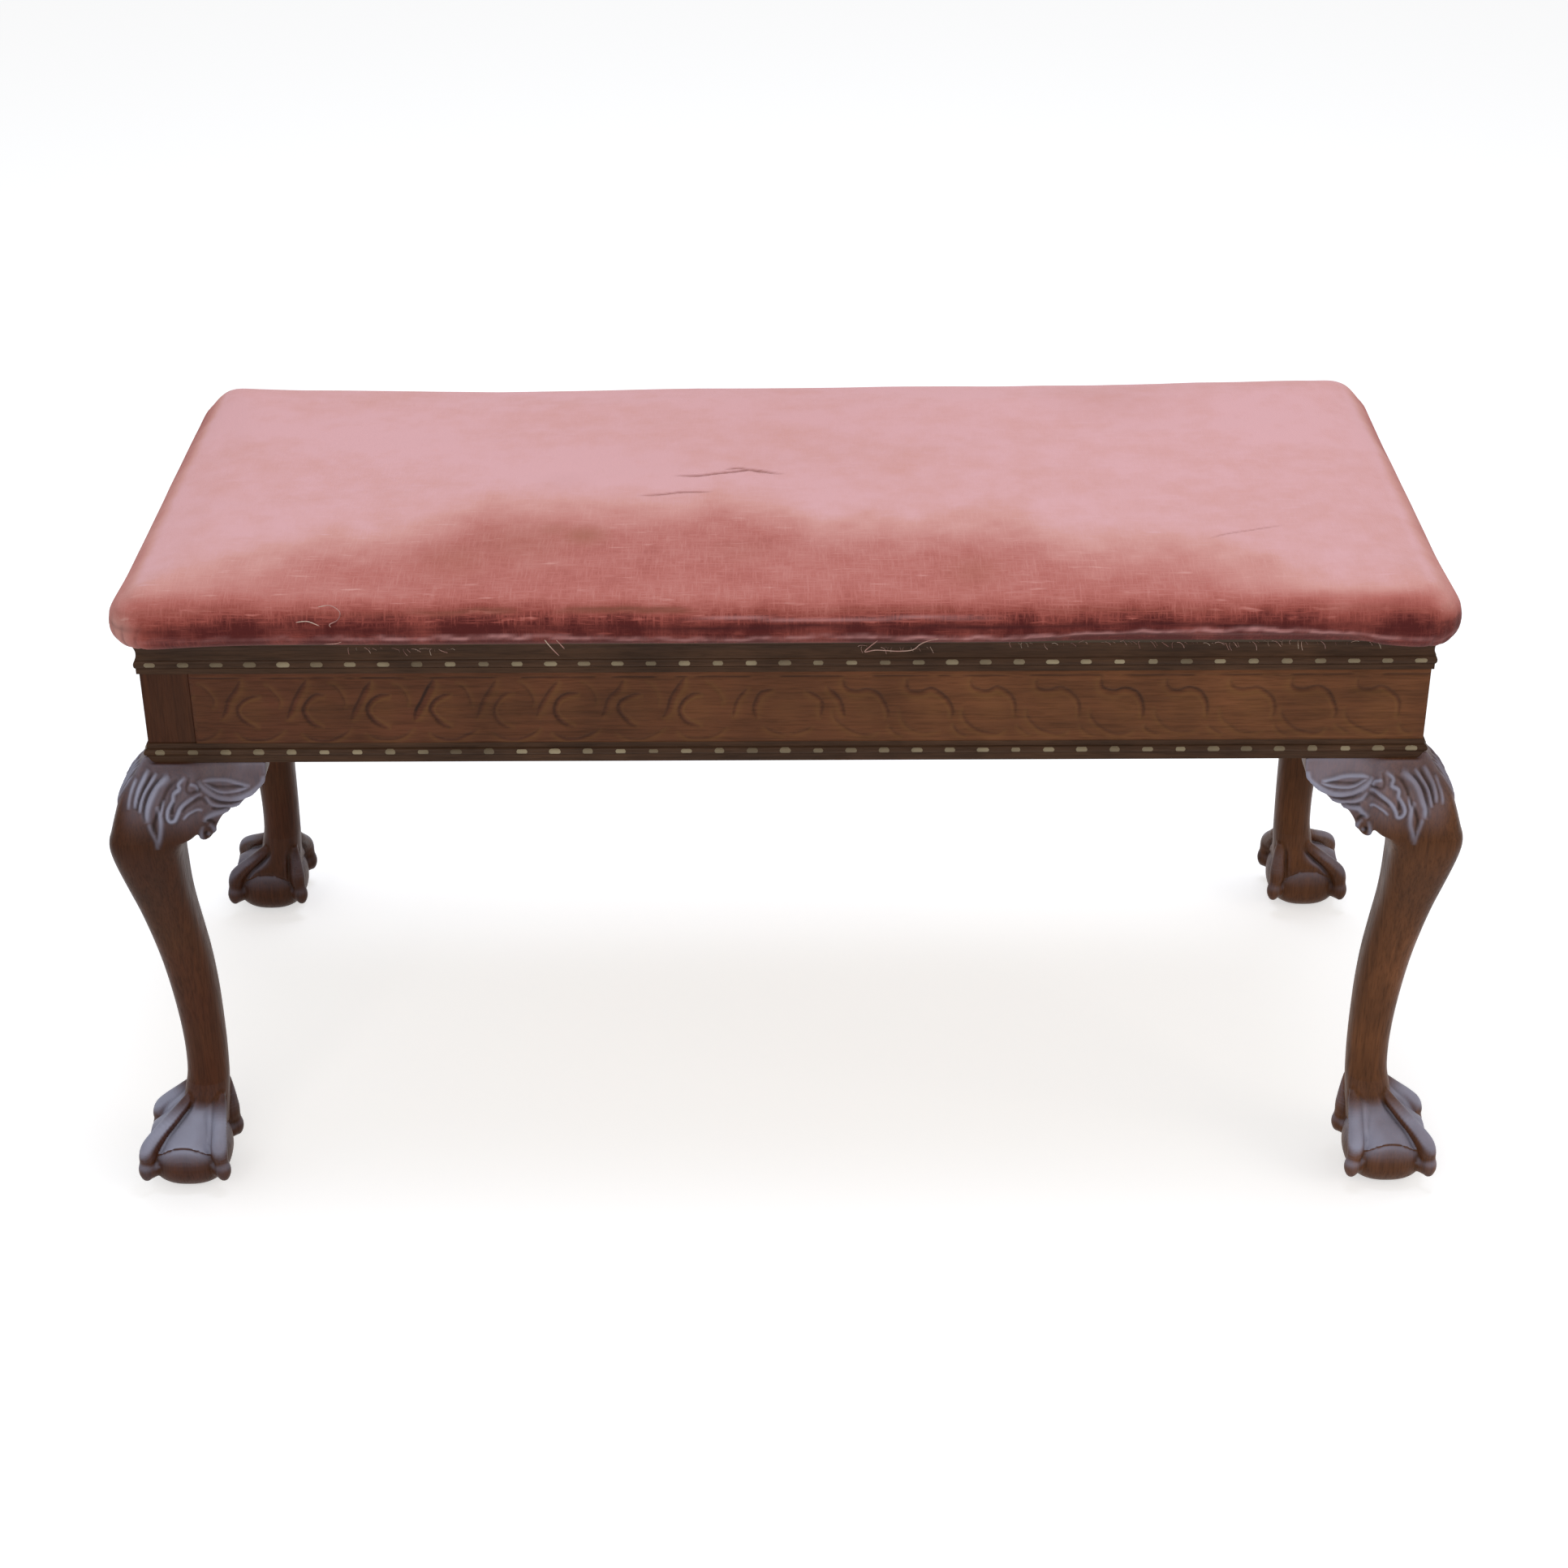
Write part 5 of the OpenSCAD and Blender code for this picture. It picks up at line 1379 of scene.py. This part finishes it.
def sideways(x, y, half_x, half_y):
    """The level direction out of the seat's side at each point."""
    over = np.abs(np.stack([x, y], 1)) - (np.array([half_x, half_y]) - SEAT_CORNER_R)
    corner = (over > 0).all(1)
    long_side = over[:, 1] > over[:, 0]
    out = np.where(
        corner[:, None], over, np.where(long_side[:, None], np.array([0.0, 1.0]), np.array([1.0, 0.0]))
    )
    out = out * np.sign(np.stack([x, y], 1))
    return out / np.maximum(np.linalg.norm(out, axis=1, keepdims=True), 1e-9)


def worn_velvet(verts, round_way, on_side, on_top, slit, ruck, pleat, tear):
    """What the velvet's material reads at each point: how faded, bare, dark, frayed and spotted with stains
    it is. The sides' darkening is partly painted shade, and the dark is painted shade.
    """
    x, y, z = verts.T
    half_x, half_y = SEAT_HIGH[:2]
    # The top is faded behind a wandering line, and the sides are darker the lower they are: partly dye kept
    # from the light, partly painted shade under the roll.
    edge_y = np.interp(x, *np.array(FADE_EDGE, float).T)
    soft = 12 * wander(x, 31, 160) + 7 * wander(x, 32, 60) * wander(y, 35, 50)
    fade_top = ease(y + soft, edge_y - 72, edge_y + 42)
    fade_top = 0.40 + 0.56 * fade_top + 0.05 * wander(y + 0.4 * x, 33, 260)
    side_fade_and_shade = np.interp(z, (447, 460, 469, 476, 482, 488), (0.0, 0.02, 0.03, 0.10, 0.24, 0.40))
    side_fade_and_shade = side_fade_and_shade + 0.05 * wander(round_way, 34, 90)
    on_face = ease(-outline_inset(x, y, half_x, half_y, SEAT_CORNER_R), -20, -7)
    fade = fade_top * (1 - on_face) + np.minimum(side_fade_and_shade, fade_top) * on_face
    side_ends = ease(np.abs(x), half_x - 24, half_x - 4) * ease(z, 466, 482)
    fade = fade + side_ends * (0.24 + 0.14 * (x > 0))
    bare = np.clip(1.15 - fade_top, 0.15, 1) * ease(z, 466, 476) + 0.35 * ease(-z, -472, -464)
    # Painted shade lies in the tears, the slit, the rucked fold and the pleats.
    dark = np.maximum(np.clip(tear * 0.35, 0, 1), np.clip(0.9 * slit + 0.45 * ruck + 0.45 * pleat, 0, 1))
    # Pale ground shows along the turned-up hem's lip, and a thin pale line is painted over it at the
    # front's middle.
    lip_x, lip_z, lip_strength = np.array(HEM_LIP, float).T
    on_front = (y < 0) & (np.abs(x) / half_x < np.abs(y) / half_y)
    lip = np.where(on_front, np.interp(x, lip_x, lip_z), 461) + 0.9 * wander(round_way, 43, 37)
    strength = np.where(on_front, np.interp(x, lip_x, lip_strength), 0.25)
    strength = strength * (0.45 + 0.55 * ease(wander(round_way, 41, 40), -0.7, 0.4))
    fray = strength * bell(z - lip, 1.5)
    light_line = 475.5 + 0.8 * wander(round_way, 45, 180)
    above = ease(x, -75, -40) * ease(-x, -160, -110) * on_front
    fray = np.maximum(fray, 0.5 * bell(z - light_line, 0.9) * above) * on_side
    worn_corner = bell(np.hypot(x + half_x - 6, y + half_y - 6), 17) * ease(-z, -482, -468)
    blot = np.zeros(len(x))
    for stain_x, stain_y, radius, stain in BLOTS:
        blot = np.maximum(blot, stain * bell(np.hypot(x - stain_x, y - stain_y), radius) * on_top)
    blot = np.maximum(blot, np.maximum(0.9 * ruck, 0.6 * np.clip(tear, 0, 1)))
    fade = fade + 0.75 * worn_corner
    return {
        "fade": np.clip(fade, 0, 1), "bare": np.clip(bare, 0, 1), "slit": dark,
        "fray": np.clip(fray, 0, 1), "blot": np.clip(blot, 0, 1),
    }


def dress_velvet(verts):
    """Shapes the finer form of the velvet: the hem and its folds, creases at the corners, and tears.
    Returns the points and the values that its material reads."""
    x, y, z = verts.T.copy()
    half_x, half_y, top = SEAT_HIGH
    # The back edge is sat down.
    share = (z - HEM_Z) / (top - HEM_Z)
    z = z - share * ease(y, -60, 190) * np.interp(x, *np.array(SAT_DOWN, float).T)
    inset = outline_inset(x, y, half_x, half_y, SEAT_CORNER_R)
    round_way = np.where(np.abs(x) / half_x > np.abs(y) / half_y, y * np.sign(x) + 1500 * np.sign(x), x)
    on_side = ease(-inset, -16, -6) * ease(z, HEM_Z - 2, HEM_Z + 2)
    # A dark slit runs round over the turned-up hem, a rucked fold above it, and a roll below.
    seam = HEM_SLIT + 1.1 * wander(round_way, 3, 210) + 0.5 * wander(round_way, 4, 46)
    crease = HEM_CREASE + 1.3 * wander(round_way, 5, 260) + 0.7 * wander(round_way, 6, 60)
    torn = 0.35 + 0.65 * ease(round_way, -130, -90) * ease(-round_way, -370, -330)
    folded = 0.15 + 0.85 * ease(round_way, -265, -230) * ease(-round_way, 45, 75)
    slit = bell(z - seam, 1.5) * on_side * torn * (0.6 + 0.4 * ease(wander(round_way, 8, 150), -0.6, 0.3))
    ruck = bell(z - crease, 1.4) * on_side * folded * ease(wander(round_way, 9, 170), -0.9, 0.3)
    roll = bell(z - (seam - 7), 5.0) * on_side
    # Pleats spread from the lower corners.
    pleat = np.zeros(len(x))
    corner_way = np.abs(np.abs(x) - half_x + 12) + np.abs(np.abs(y) - half_y + 12)
    for k, lean in enumerate((-0.55, -0.2, 0.15, 0.5)):
        line = (np.abs(x) - half_x) - (np.abs(y) - half_y) + lean * (z - 452) + 9 * (k - 1.5)
        pleat = np.maximum(pleat, bell(line, 1.6) * bell(corner_way, 52) * ease(-z, -480, -462) * on_side)
    wave = 0.35 * wander(round_way, 11, 330) * on_side
    front_corner = bell(corner_way, 60) * (y < 0) * on_side
    wave += 3.0 * front_corner * ease(-z, -486, -478)
    push = 0.7 * roll + wave - 0.9 * slit - 0.7 * ruck - 1.0 * pleat
    x, y = np.stack([x, y]) + push * sideways(x, y, half_x, half_y).T
    # The top is torn, with lips beside the tears, and lies in long waves.
    on_top = ease(z, top - 9, top - 5)
    tear, lips = np.zeros(len(x)), np.zeros(len(x))
    for width, depth, stroke in TEARS:
        near = (np.abs(x - stroke[0][0]) < 140) & (on_top > 0)
        distance, _, run = near_stroke(np.stack([x[near], y[near]], 1), smooth_path(stroke, 4))
        taper = np.clip(np.minimum(run, 1 - run) * 5, 0, 1)
        tear[near] = np.maximum(tear[near], depth * taper * bell(distance, width))
        lips[near] = np.maximum(lips[near], 0.5 * depth * taper * bell(distance - 2.2 * width, width))
    z = z - 0.8 * tear + 0.5 * lips
    z = z + on_top * (0.5 * wander(x + 0.3 * y, 21, 310) + 0.4 * wander(y - 0.2 * x, 22, 150))
    inset = outline_inset(x, y, half_x, half_y, SEAT_CORNER_R)
    # Along the front's right half the hem is drawn up off the moulding, and at its corners it hangs.
    drawn_up = 5 * ease(x, 150, 215) * ease(-x, -415, -385) * (y < 0)
    drawn_up = drawn_up - (2.5 + 2 * (x > 0)) * front_corner
    z = z + drawn_up * ease(-inset, -11, -2) * ease(-z, -473, -455)
    # The underside steps up to the board, and over each hinge.
    below = (z < HEM_Z + 0.5) & (inset > 4)
    z = np.where(below, HEM_Z + (BOARD_Z - HEM_Z) * ease(inset, HEM_W - 3.5, HEM_W - 0.2), z)
    beside = np.abs(np.abs(x) - HINGE_X)
    notch = ease(-beside, -HINGE_HALF - 4, -HINGE_HALF) * (y > HINGE_Y - 4)
    z = np.maximum(z, HEM_Z - 1 + 5.2 * notch)
    verts = np.stack([x, y, z], 1)
    return verts, worn_velvet(verts, round_way, on_side, on_top, slit, ruck, pleat, tear)


class STOOL_OT_stuff_seat(Operator):
    """Stuff the lid's velvet seat: swell its cloth, then turn its hem under and wear it"""

    bl_idname = "stool.stuff_seat"
    bl_label = "Stuff seat"

    def execute(self, context):
        set_to = sizes()
        swell = set_to.seat_swell / MM
        grain = set_to.seat_grain / MM
        # The block starts smaller than the cover by most of what the stuffing will push out.
        half_x, half_y = SEAT_HIGH[0] - 0.45 * swell, SEAT_HIGH[1] - 0.45 * swell
        low, high = HEM_Z, SEAT_HIGH[2] - swell * 0.8
        counts = [int(round(n / grain)) for n in (2 * half_x, 2 * half_y, high - low)]
        unit, quads = block_skin(counts)
        rolls = SEAT_ROLL + (BACK_ROLL - SEAT_ROLL) * ease(unit[:, 1], -0.2, 0.9)
        verts = seat_form(unit, half_x, half_y, low, high, rolls, HEM_ROLL)
        piece = object_of("seat_velvet", mesh_of("seat_velvet", verts, quads))
        held = ease(-verts[:, 2], -HEM_Z - 12, -HEM_Z - 2)
        stuffed(piece, held, 1 - ease(verts[:, 2], high - 7, high - 0.5), set_to.seat_swell)
        split = piece.modifiers.new("Subdivision", "SUBSURF")
        split.levels = split.render_levels = 2
        verts, quads, _ = arrays_of(evaluated_mesh(piece))
        verts, values = dress_velvet(verts)
        # What lies on the board, well inside the hem, is made one plain face.
        under = outline_inset(*verts.T[:2], *SEAT_HIGH[:2], SEAT_CORNER_R) > 60
        under &= verts[:, 2] < HEM_Z + 6
        mesh = mesh_of("seat_velvet", verts, quads, values)
        work = bmesh.new()
        work.from_mesh(mesh)
        work.verts.ensure_lookup_table()
        middle = [f for f in work.faces if all(under[v.index] for v in f.verts)]
        bmesh.ops.dissolve_faces(work, faces=middle, use_verts=True)
        work.to_mesh(mesh)
        work.free()
        mesh.shade_smooth()
        seat = add_piece("seat_velvet", mesh, "lid", "velvet", replaced=("velvet_cover", "seat_pad"))
        return {"FINISHED"}


# Loose threads and frays

THREAD_R = 0.32  # twice a real thread's, so that it shows
FRAYED = ((-300, -230, 452.5), (150, 410, 455.0), (40, 100, 452.5))  # from x, to x, height
LOOSE_THREADS = (  # pulled threads on the front face, as (x, out from the velvet, height)
    ((-318, 0.2, 486), (-309, 1.5, 487.5), (-303, 2.4, 483), (-305, 2.2, 477), (-311, 1.8, 473),
     (-306, 1.6, 468), (-300, 1.4, 464), (-306, 1.2, 459), (-316, 1.0, 458)),
    ((-336, 0.2, 474), (-326, 1.2, 475.5), (-317, 1.4, 472), (-311, 1.2, 473)),
    ((-166, 0.4, 463), (-163, 2.0, 459), (-159, 2.6, 454), (-155, 2.2, 449)),
    ((-158, 0.4, 462), (-154, 2.0, 458), (-151, 2.6, 454.5)),
    ((64, 0.4, 459), (58, 2.6, 455), (55, 3.0, 451.5), (62, 3.4, 453), (70, 3.4, 452.6), (79, 3.2, 452),
     (88, 3.0, 453), (93, 2.6, 457), (99, 2.2, 459.5), (108, 1.0, 461)),
)


def tube(points, radius):
    """A thin round tube along points in millimetres, tapering at its ends."""
    path = smooth_path(points, 6)
    way = np.gradient(path, axis=0)
    way /= np.linalg.norm(way, axis=1, keepdims=True)
    turns = np.linspace(0, 2 * np.pi, 5, endpoint=False)[:, None]
    rings = []
    for k, (place, ahead) in enumerate(zip(path, way)):
        side = np.cross(ahead, (0.31, 0.52, 0.79))
        side /= np.linalg.norm(side)
        other = np.cross(ahead, side)
        thin = radius * min(1, 0.3 + 0.35 * min(k, len(path) - 1 - k))
        rings.append(place + thin * (np.cos(turns) * side + np.sin(turns) * other))
    return skin_over(rings)


def fray_tree(name, finish):
    """Geometry Nodes: short bent threads standing out of a cut edge of cloth, scattered along a path."""
    tree, given = geometry_tree(name, ("Pitch", "Length", "Thickness"))
    path = add_node(tree, "GeometryNodeMeshToCurve", {"Mesh": (given, "Geometry")})
    places = add_node(
        tree, "GeometryNodeResampleCurve", {"Curve": path, "Length": (given, "Pitch")}, mode="LENGTH"
    )
    # A thread droops from its root at the origin, out along Y and down.
    middle = add_node(
        tree, "ShaderNodeVectorMath",
        {"Vector": (0.25, -0.45, 0.02), "Scale": (given, "Length")}, operation="SCALE",
    )
    end = add_node(
        tree, "ShaderNodeVectorMath",
        {"Vector": (0.75, -0.40, -0.55), "Scale": (given, "Length")}, operation="SCALE",
    )
    line = add_node(
        tree, "GeometryNodeCurveQuadraticBezier",
        {"Resolution": 5, "Start": (0.0, 0.0, 0.0), "Middle": middle, "End": end},
    )
    section = add_node(
        tree, "GeometryNodeCurvePrimitiveCircle", {"Resolution": 3, "Radius": (given, "Thickness")}
    )
    thread = add_node(
        tree, "GeometryNodeCurveToMesh",
        {"Curve": line, "Profile Curve": (section, "Curve"), "Fill Caps": True},
    )
    turn = add_node(
        tree, "FunctionNodeRandomValue",
        {"Min": (-0.9, -0.6, -1.3), "Max": (0.4, 0.6, 1.3), "Seed": (given, "Seed")},
        data_type="FLOAT_VECTOR",
    )
    grow = add_node(
        tree, "FunctionNodeRandomValue", {"Min_001": 0.25, "Max_001": 1.25, "Seed": (given, "Seed")},
        data_type="FLOAT",
    )
    chosen = add_node(
        tree, "FunctionNodeRandomValue", {"Probability": 0.6, "Seed": (given, "Seed")}, data_type="BOOLEAN"
    )
    row = add_node(
        tree, "GeometryNodeInstanceOnPoints",
        {
            "Points": places, "Selection": (chosen, "Value_003"), "Instance": thread,
            "Rotation": (turn, "Value"), "Scale": (grow, "Value_001"),
        },
    )
    real = add_node(tree, "GeometryNodeRealizeInstances", {"Geometry": row})
    done = add_node(tree, "GeometryNodeSetMaterial", {"Geometry": real, "Material": finish})
    add_node(tree, "NodeGroupOutput", {"Geometry": done})
    return tree


def hem_path(name):
    """A path under the velvet's front edge where its hem has frayed, in short straight pieces."""
    y = -SEAT_HIGH[1] + 3.0
    verts, edges = [], []
    for start, stop, height in FRAYED:
        first = len(verts)
        for x in range(start, stop + 1, 10):
            verts.append((x * MM, y * MM, (height + 0.8 * math.sin(x / 17)) * MM))
        edges += [(k, k + 1) for k in range(first, len(verts) - 1)]
    mesh = bpy.data.meshes.new(name)
    mesh.from_pydata(verts, edges, [])
    return object_of(name, mesh)


class STOOL_OT_fray_hem(Operator):
    """Pull loose threads out of the velvet and fray the lower edge of its hem"""

    bl_idname = "stool.fray_hem"
    bl_label = "Fray hem"

    def execute(self, context):
        shapes = []
        for stroke in LOOSE_THREADS:
            shapes.append(tube([(x, -SEAT_HIGH[1] - out, z) for x, out, z in stroke], THREAD_R))
        mesh = mesh_of("loose_threads", *joined(shapes))
        add_piece("loose_threads", mesh, "lid", "velvet", finish="thread")
        tree = fray_tree("Frayed edge", finish_of("thread"))
        values = {
            "Pitch": 2.6 * MM, "Length": 6 * MM, "Thickness": 0.16 * MM, "Seed": sizes().hand_seed,
        }
        mesh = grown(hem_path("hem_frays"), tree, values)
        add_piece("hem_frays", mesh, "lid", "velvet", finish="thread")
        return {"FINISHED"}


# Lining and the plain pieces


def tack_places():
    """Middles of the lining tacks' heads, in millimetres, read from the CAD node."""
    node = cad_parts["lining_tacks"]
    found = []
    for vert in node.data.vertices:
        x, y = vert.co.x / MM, vert.co.y / MM
        if all(math.hypot(x - a, y - b) > 8 for a, b in found):
            found.append((x, y))
    return np.array(found)


class STOOL_OT_line_lid(Operator):
    """Stretch the cotton lining under the lid, puckered at its tacks"""

    bl_idname = "stool.line_lid"
    bl_label = "Line lid"

    def execute(self, context):
        half_x, half_y, high = LINING_HIGH
        low = LINING_LOW[2]
        columns, rows = 180, 78  # cells of about 5 mm
        u, v = np.meshgrid(np.linspace(-1, 1, columns + 1), np.linspace(-1, 1, rows + 1), indexing="ij")
        flat = np.stack([u.ravel(), v.ravel(), np.full(u.size, -1.0)], 1)
        form = seat_form(flat, half_x, half_y, low, high, 0.1, 0.1)
        x, y, z = form.T
        tacks = tack_places()
        away = np.hypot(x[:, None] - tacks[:, 0], y[:, None] - tacks[:, 1]).min(1)
        sag = 0.35 * ease(away, 6, 24) * (0.5 + 0.5 * wander(x, 61, 50))
        sag = sag * ease(outline_inset(x, y, half_x, half_y, SEAT_CORNER_R), 8, 24)
        bottom = np.stack([x, y, z + 0.25 - sag], 1)
        top = np.stack([x, y, np.full(len(x), high)], 1)
        grid = np.arange(len(x)).reshape(columns + 1, rows + 1)
        quads = np.stack([grid[:-1, :-1], grid[:-1, 1:], grid[1:, 1:], grid[1:, :-1]], -1).reshape(-1, 4)
        faces = [tuple(f) for f in quads] + [tuple(len(x) + k for k in f[::-1]) for f in quads]
        rim = [*grid[:, 0], *grid[-1, 1:], *grid[-2::-1, -1], *grid[0, -2:0:-1]]
        for a, b in zip(rim, rim[1:] + rim[:1]):
            faces.append((a, b, b + len(x), a + len(x)))
        mesh = mesh_of("cotton_lining", np.vstack([bottom, top]), faces)
        lining = add_piece("cotton_lining", mesh, "lid", "lining_cloth", replaced=("lid_lining",))
        return {"FINISHED"}


class STOOL_OT_finish_joinery(Operator):
    """Give the rails, mouldings, boards, hinges, screws and tacks of the CAD model their finishes"""

    bl_idname = "stool.finish_joinery"
    bl_label = "Finish joinery"

    def execute(self, context):
        slots = {
            "lid_board": "pine_painted_dark", "_rail": "frieze_mahogany", "_moulding": "moulding_mahogany",
            "_cleat": "pine", "_board": "pine", "screws": "steel", "hinge_": "brass", "tacks": "brass",
            "leg_": "carved_mahogany", "ear_": "carved_mahogany", "velvet": "velvet",
            "seat_pad": "lining_cloth", "lid_lining": "lining_cloth",
        }
        for name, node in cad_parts.items():
            slot = next(finish for part, finish in slots.items() if part in name)
            if not node.material_slots:
                raise RuntimeError(f"{name} has no material slot")
            for place in node.material_slots:
                place.material = finish_of(slot)
        return {"FINISHED"}


# Stage

FLOOR_HALF = 6.0  # metres
FLOOR_GLOW = 0.55  # the floor's own light, which only the camera sees, so that it goes white
SKY_LIGHT = 0.46  # the sky's light on the stool; the camera sees it white


def seen_straight(tree):
    """1 where a ray comes from the camera, a gloss or a glass, and 0 where it only lights the scene."""
    ray = add_node(tree, "ShaderNodeLightPath")
    seen = (ray, "Is Camera Ray")
    for kind in ("Is Glossy Ray", "Is Transmission Ray"):
        seen = add_node(
            tree, "ShaderNodeMath", {"Value": seen, "Value_001": (ray, kind)}, operation="MAXIMUM"
        )
    return seen


class STOOL_OT_set_stage(Operator):
    """Set the pale floor, the soft daylight and the camera"""

    bl_idname = "stool.set_stage"
    bl_label = "Set stage"

    def execute(self, context):
        scene = context.scene
        mesh = bpy.data.meshes.new("floor")
        corners = [(x * FLOOR_HALF, y * FLOOR_HALF, 0) for x, y in ((-1, -1), (1, -1), (1, 1), (-1, 1))]
        mesh.from_pydata(corners, [], [(0, 1, 2, 3)])
        floor = object_of("floor", mesh)
        material, tree = new_finish("White paper floor")
        strength = add_node(
            tree, "ShaderNodeMath", {"Value": seen_straight(tree), "Value_001": FLOOR_GLOW},
            operation="MULTIPLY",
        )
        paper = add_node(tree, "ShaderNodeBsdfDiffuse", {"Color": linear("#e4e4e4")})
        glow = add_node(tree, "ShaderNodeEmission", {"Color": (1, 1, 1, 1), "Strength": strength})
        both = add_node(tree, "ShaderNodeAddShader", {"Shader": paper, "Shader_001": glow})
        add_node(tree, "ShaderNodeOutputMaterial", {"Surface": both})
        mesh.materials.append(material)
        world = bpy.data.worlds.new("Overcast day")
        world.use_nodes = True
        sky = world.node_tree
        sky.nodes.clear()
        light = add_node(
            sky, "ShaderNodeMapRange", {"Value": seen_straight(sky), "To Min": SKY_LIGHT, "To Max": 1.0}
        )
        back = add_node(sky, "ShaderNodeBackground", {"Color": (1, 1, 1, 1), "Strength": light})
        add_node(sky, "ShaderNodeOutputWorld", {"Surface": back})
        scene.world = world
        lamps = (  # name, place, aim, size, power, colour
            ("daylight_above", (0.1, 0.2, 2.4), (0, 0, 0.3), 1.2, 28, "#e6eeff"),
            ("window_front", (-0.7, -2.6, 1.7), (0, 0, 0.35), 1.6, 17, "#fffaf3"),
            ("window_right", (2.2, -1.3, 1.2), (0, 0, 0.35), 1.2, 9, "#fff3e4"),
        )
        for name, place, aim, size, power, colour in lamps:
            data = bpy.data.lights.new(name, "AREA")
            data.shape = "SQUARE"
            data.size = size
            data.energy = power
            data.color = linear(colour)[:3]
            lamp = object_of(name, data)
            lamp.location = place
            lamp.rotation_euler = (Vector(aim) - Vector(place)).to_track_quat("-Z", "Y").to_euler()
        # The camera's lens, place and turn were fitted to the stool's corners in the photograph.
        data = bpy.data.cameras.new("camera")
        data.sensor_width = 36.0
        data.lens = 65.22
        camera = object_of("camera", data)
        pitch, yaw, roll = (math.radians(a) for a in (29.553, -0.186, -0.310))
        ahead = Vector((
            math.sin(yaw) * math.cos(pitch), math.cos(yaw) * math.cos(pitch), -math.sin(pitch)
        ))
        right = Vector((math.cos(yaw), -math.sin(yaw), 0))
        up = right.cross(ahead)
        tilted_right = math.cos(roll) * right + math.sin(roll) * up
        tilted_up = math.cos(roll) * up - math.sin(roll) * right
        turn = Matrix((tilted_right, tilted_up, -ahead)).transposed()
        camera.matrix_world = Matrix.Translation((0.0047, -1.9518, 1.3343)) @ turn.to_4x4()
        data.clip_start = 0.05
        data.clip_end = 50
        scene.camera = camera
        scene.view_settings.view_transform = "Standard"
        return {"FINISHED"}


class STOOL_PT_workshop(Panel):
    """The stool's pieces, in the order in which they are made"""

    bl_label = "Duet piano stool"
    bl_idname = "STOOL_PT_workshop"
    bl_space_type = "VIEW_3D"
    bl_region_type = "UI"
    bl_category = "Stool"

    def draw(self, context):
        for settings in (context.scene.stool_sizes, context.scene.stool_colours):
            column = self.layout.column(align=True)
            for key in settings.__annotations__:
                column.prop(settings, key)
        column = self.layout.column()
        for operator in MAKING_ORDER:
            column.operator(operator.bl_idname)


MAKING_ORDER = (
    STOOL_OT_set_stage,
    STOOL_OT_finish_joinery,
    STOOL_OT_carve_legs,
    STOOL_OT_carve_friezes,
    STOOL_OT_carve_beads,
    STOOL_OT_stuff_seat,
    STOOL_OT_line_lid,
    STOOL_OT_fray_hem,
)
CLASSES = (StoolSizes, StoolColours, *MAKING_ORDER, STOOL_PT_workshop)


def register():
    """Adds the settings, operators and panel."""
    for cls in CLASSES:
        bpy.utils.register_class(cls)
    bpy.types.Scene.stool_sizes = PointerProperty(type=StoolSizes)
    bpy.types.Scene.stool_colours = PointerProperty(type=StoolColours)


def unregister():
    """Removes what register added."""
    del bpy.types.Scene.stool_colours
    del bpy.types.Scene.stool_sizes
    for cls in reversed(CLASSES):
        bpy.utils.unregister_class(cls)


def main():
    """Makes the whole stool."""
    register()
    for operator in MAKING_ORDER:
        group, name = operator.bl_idname.split(".")
        getattr(getattr(bpy.ops, group), name)()


if __name__ == "__main__":
    main()
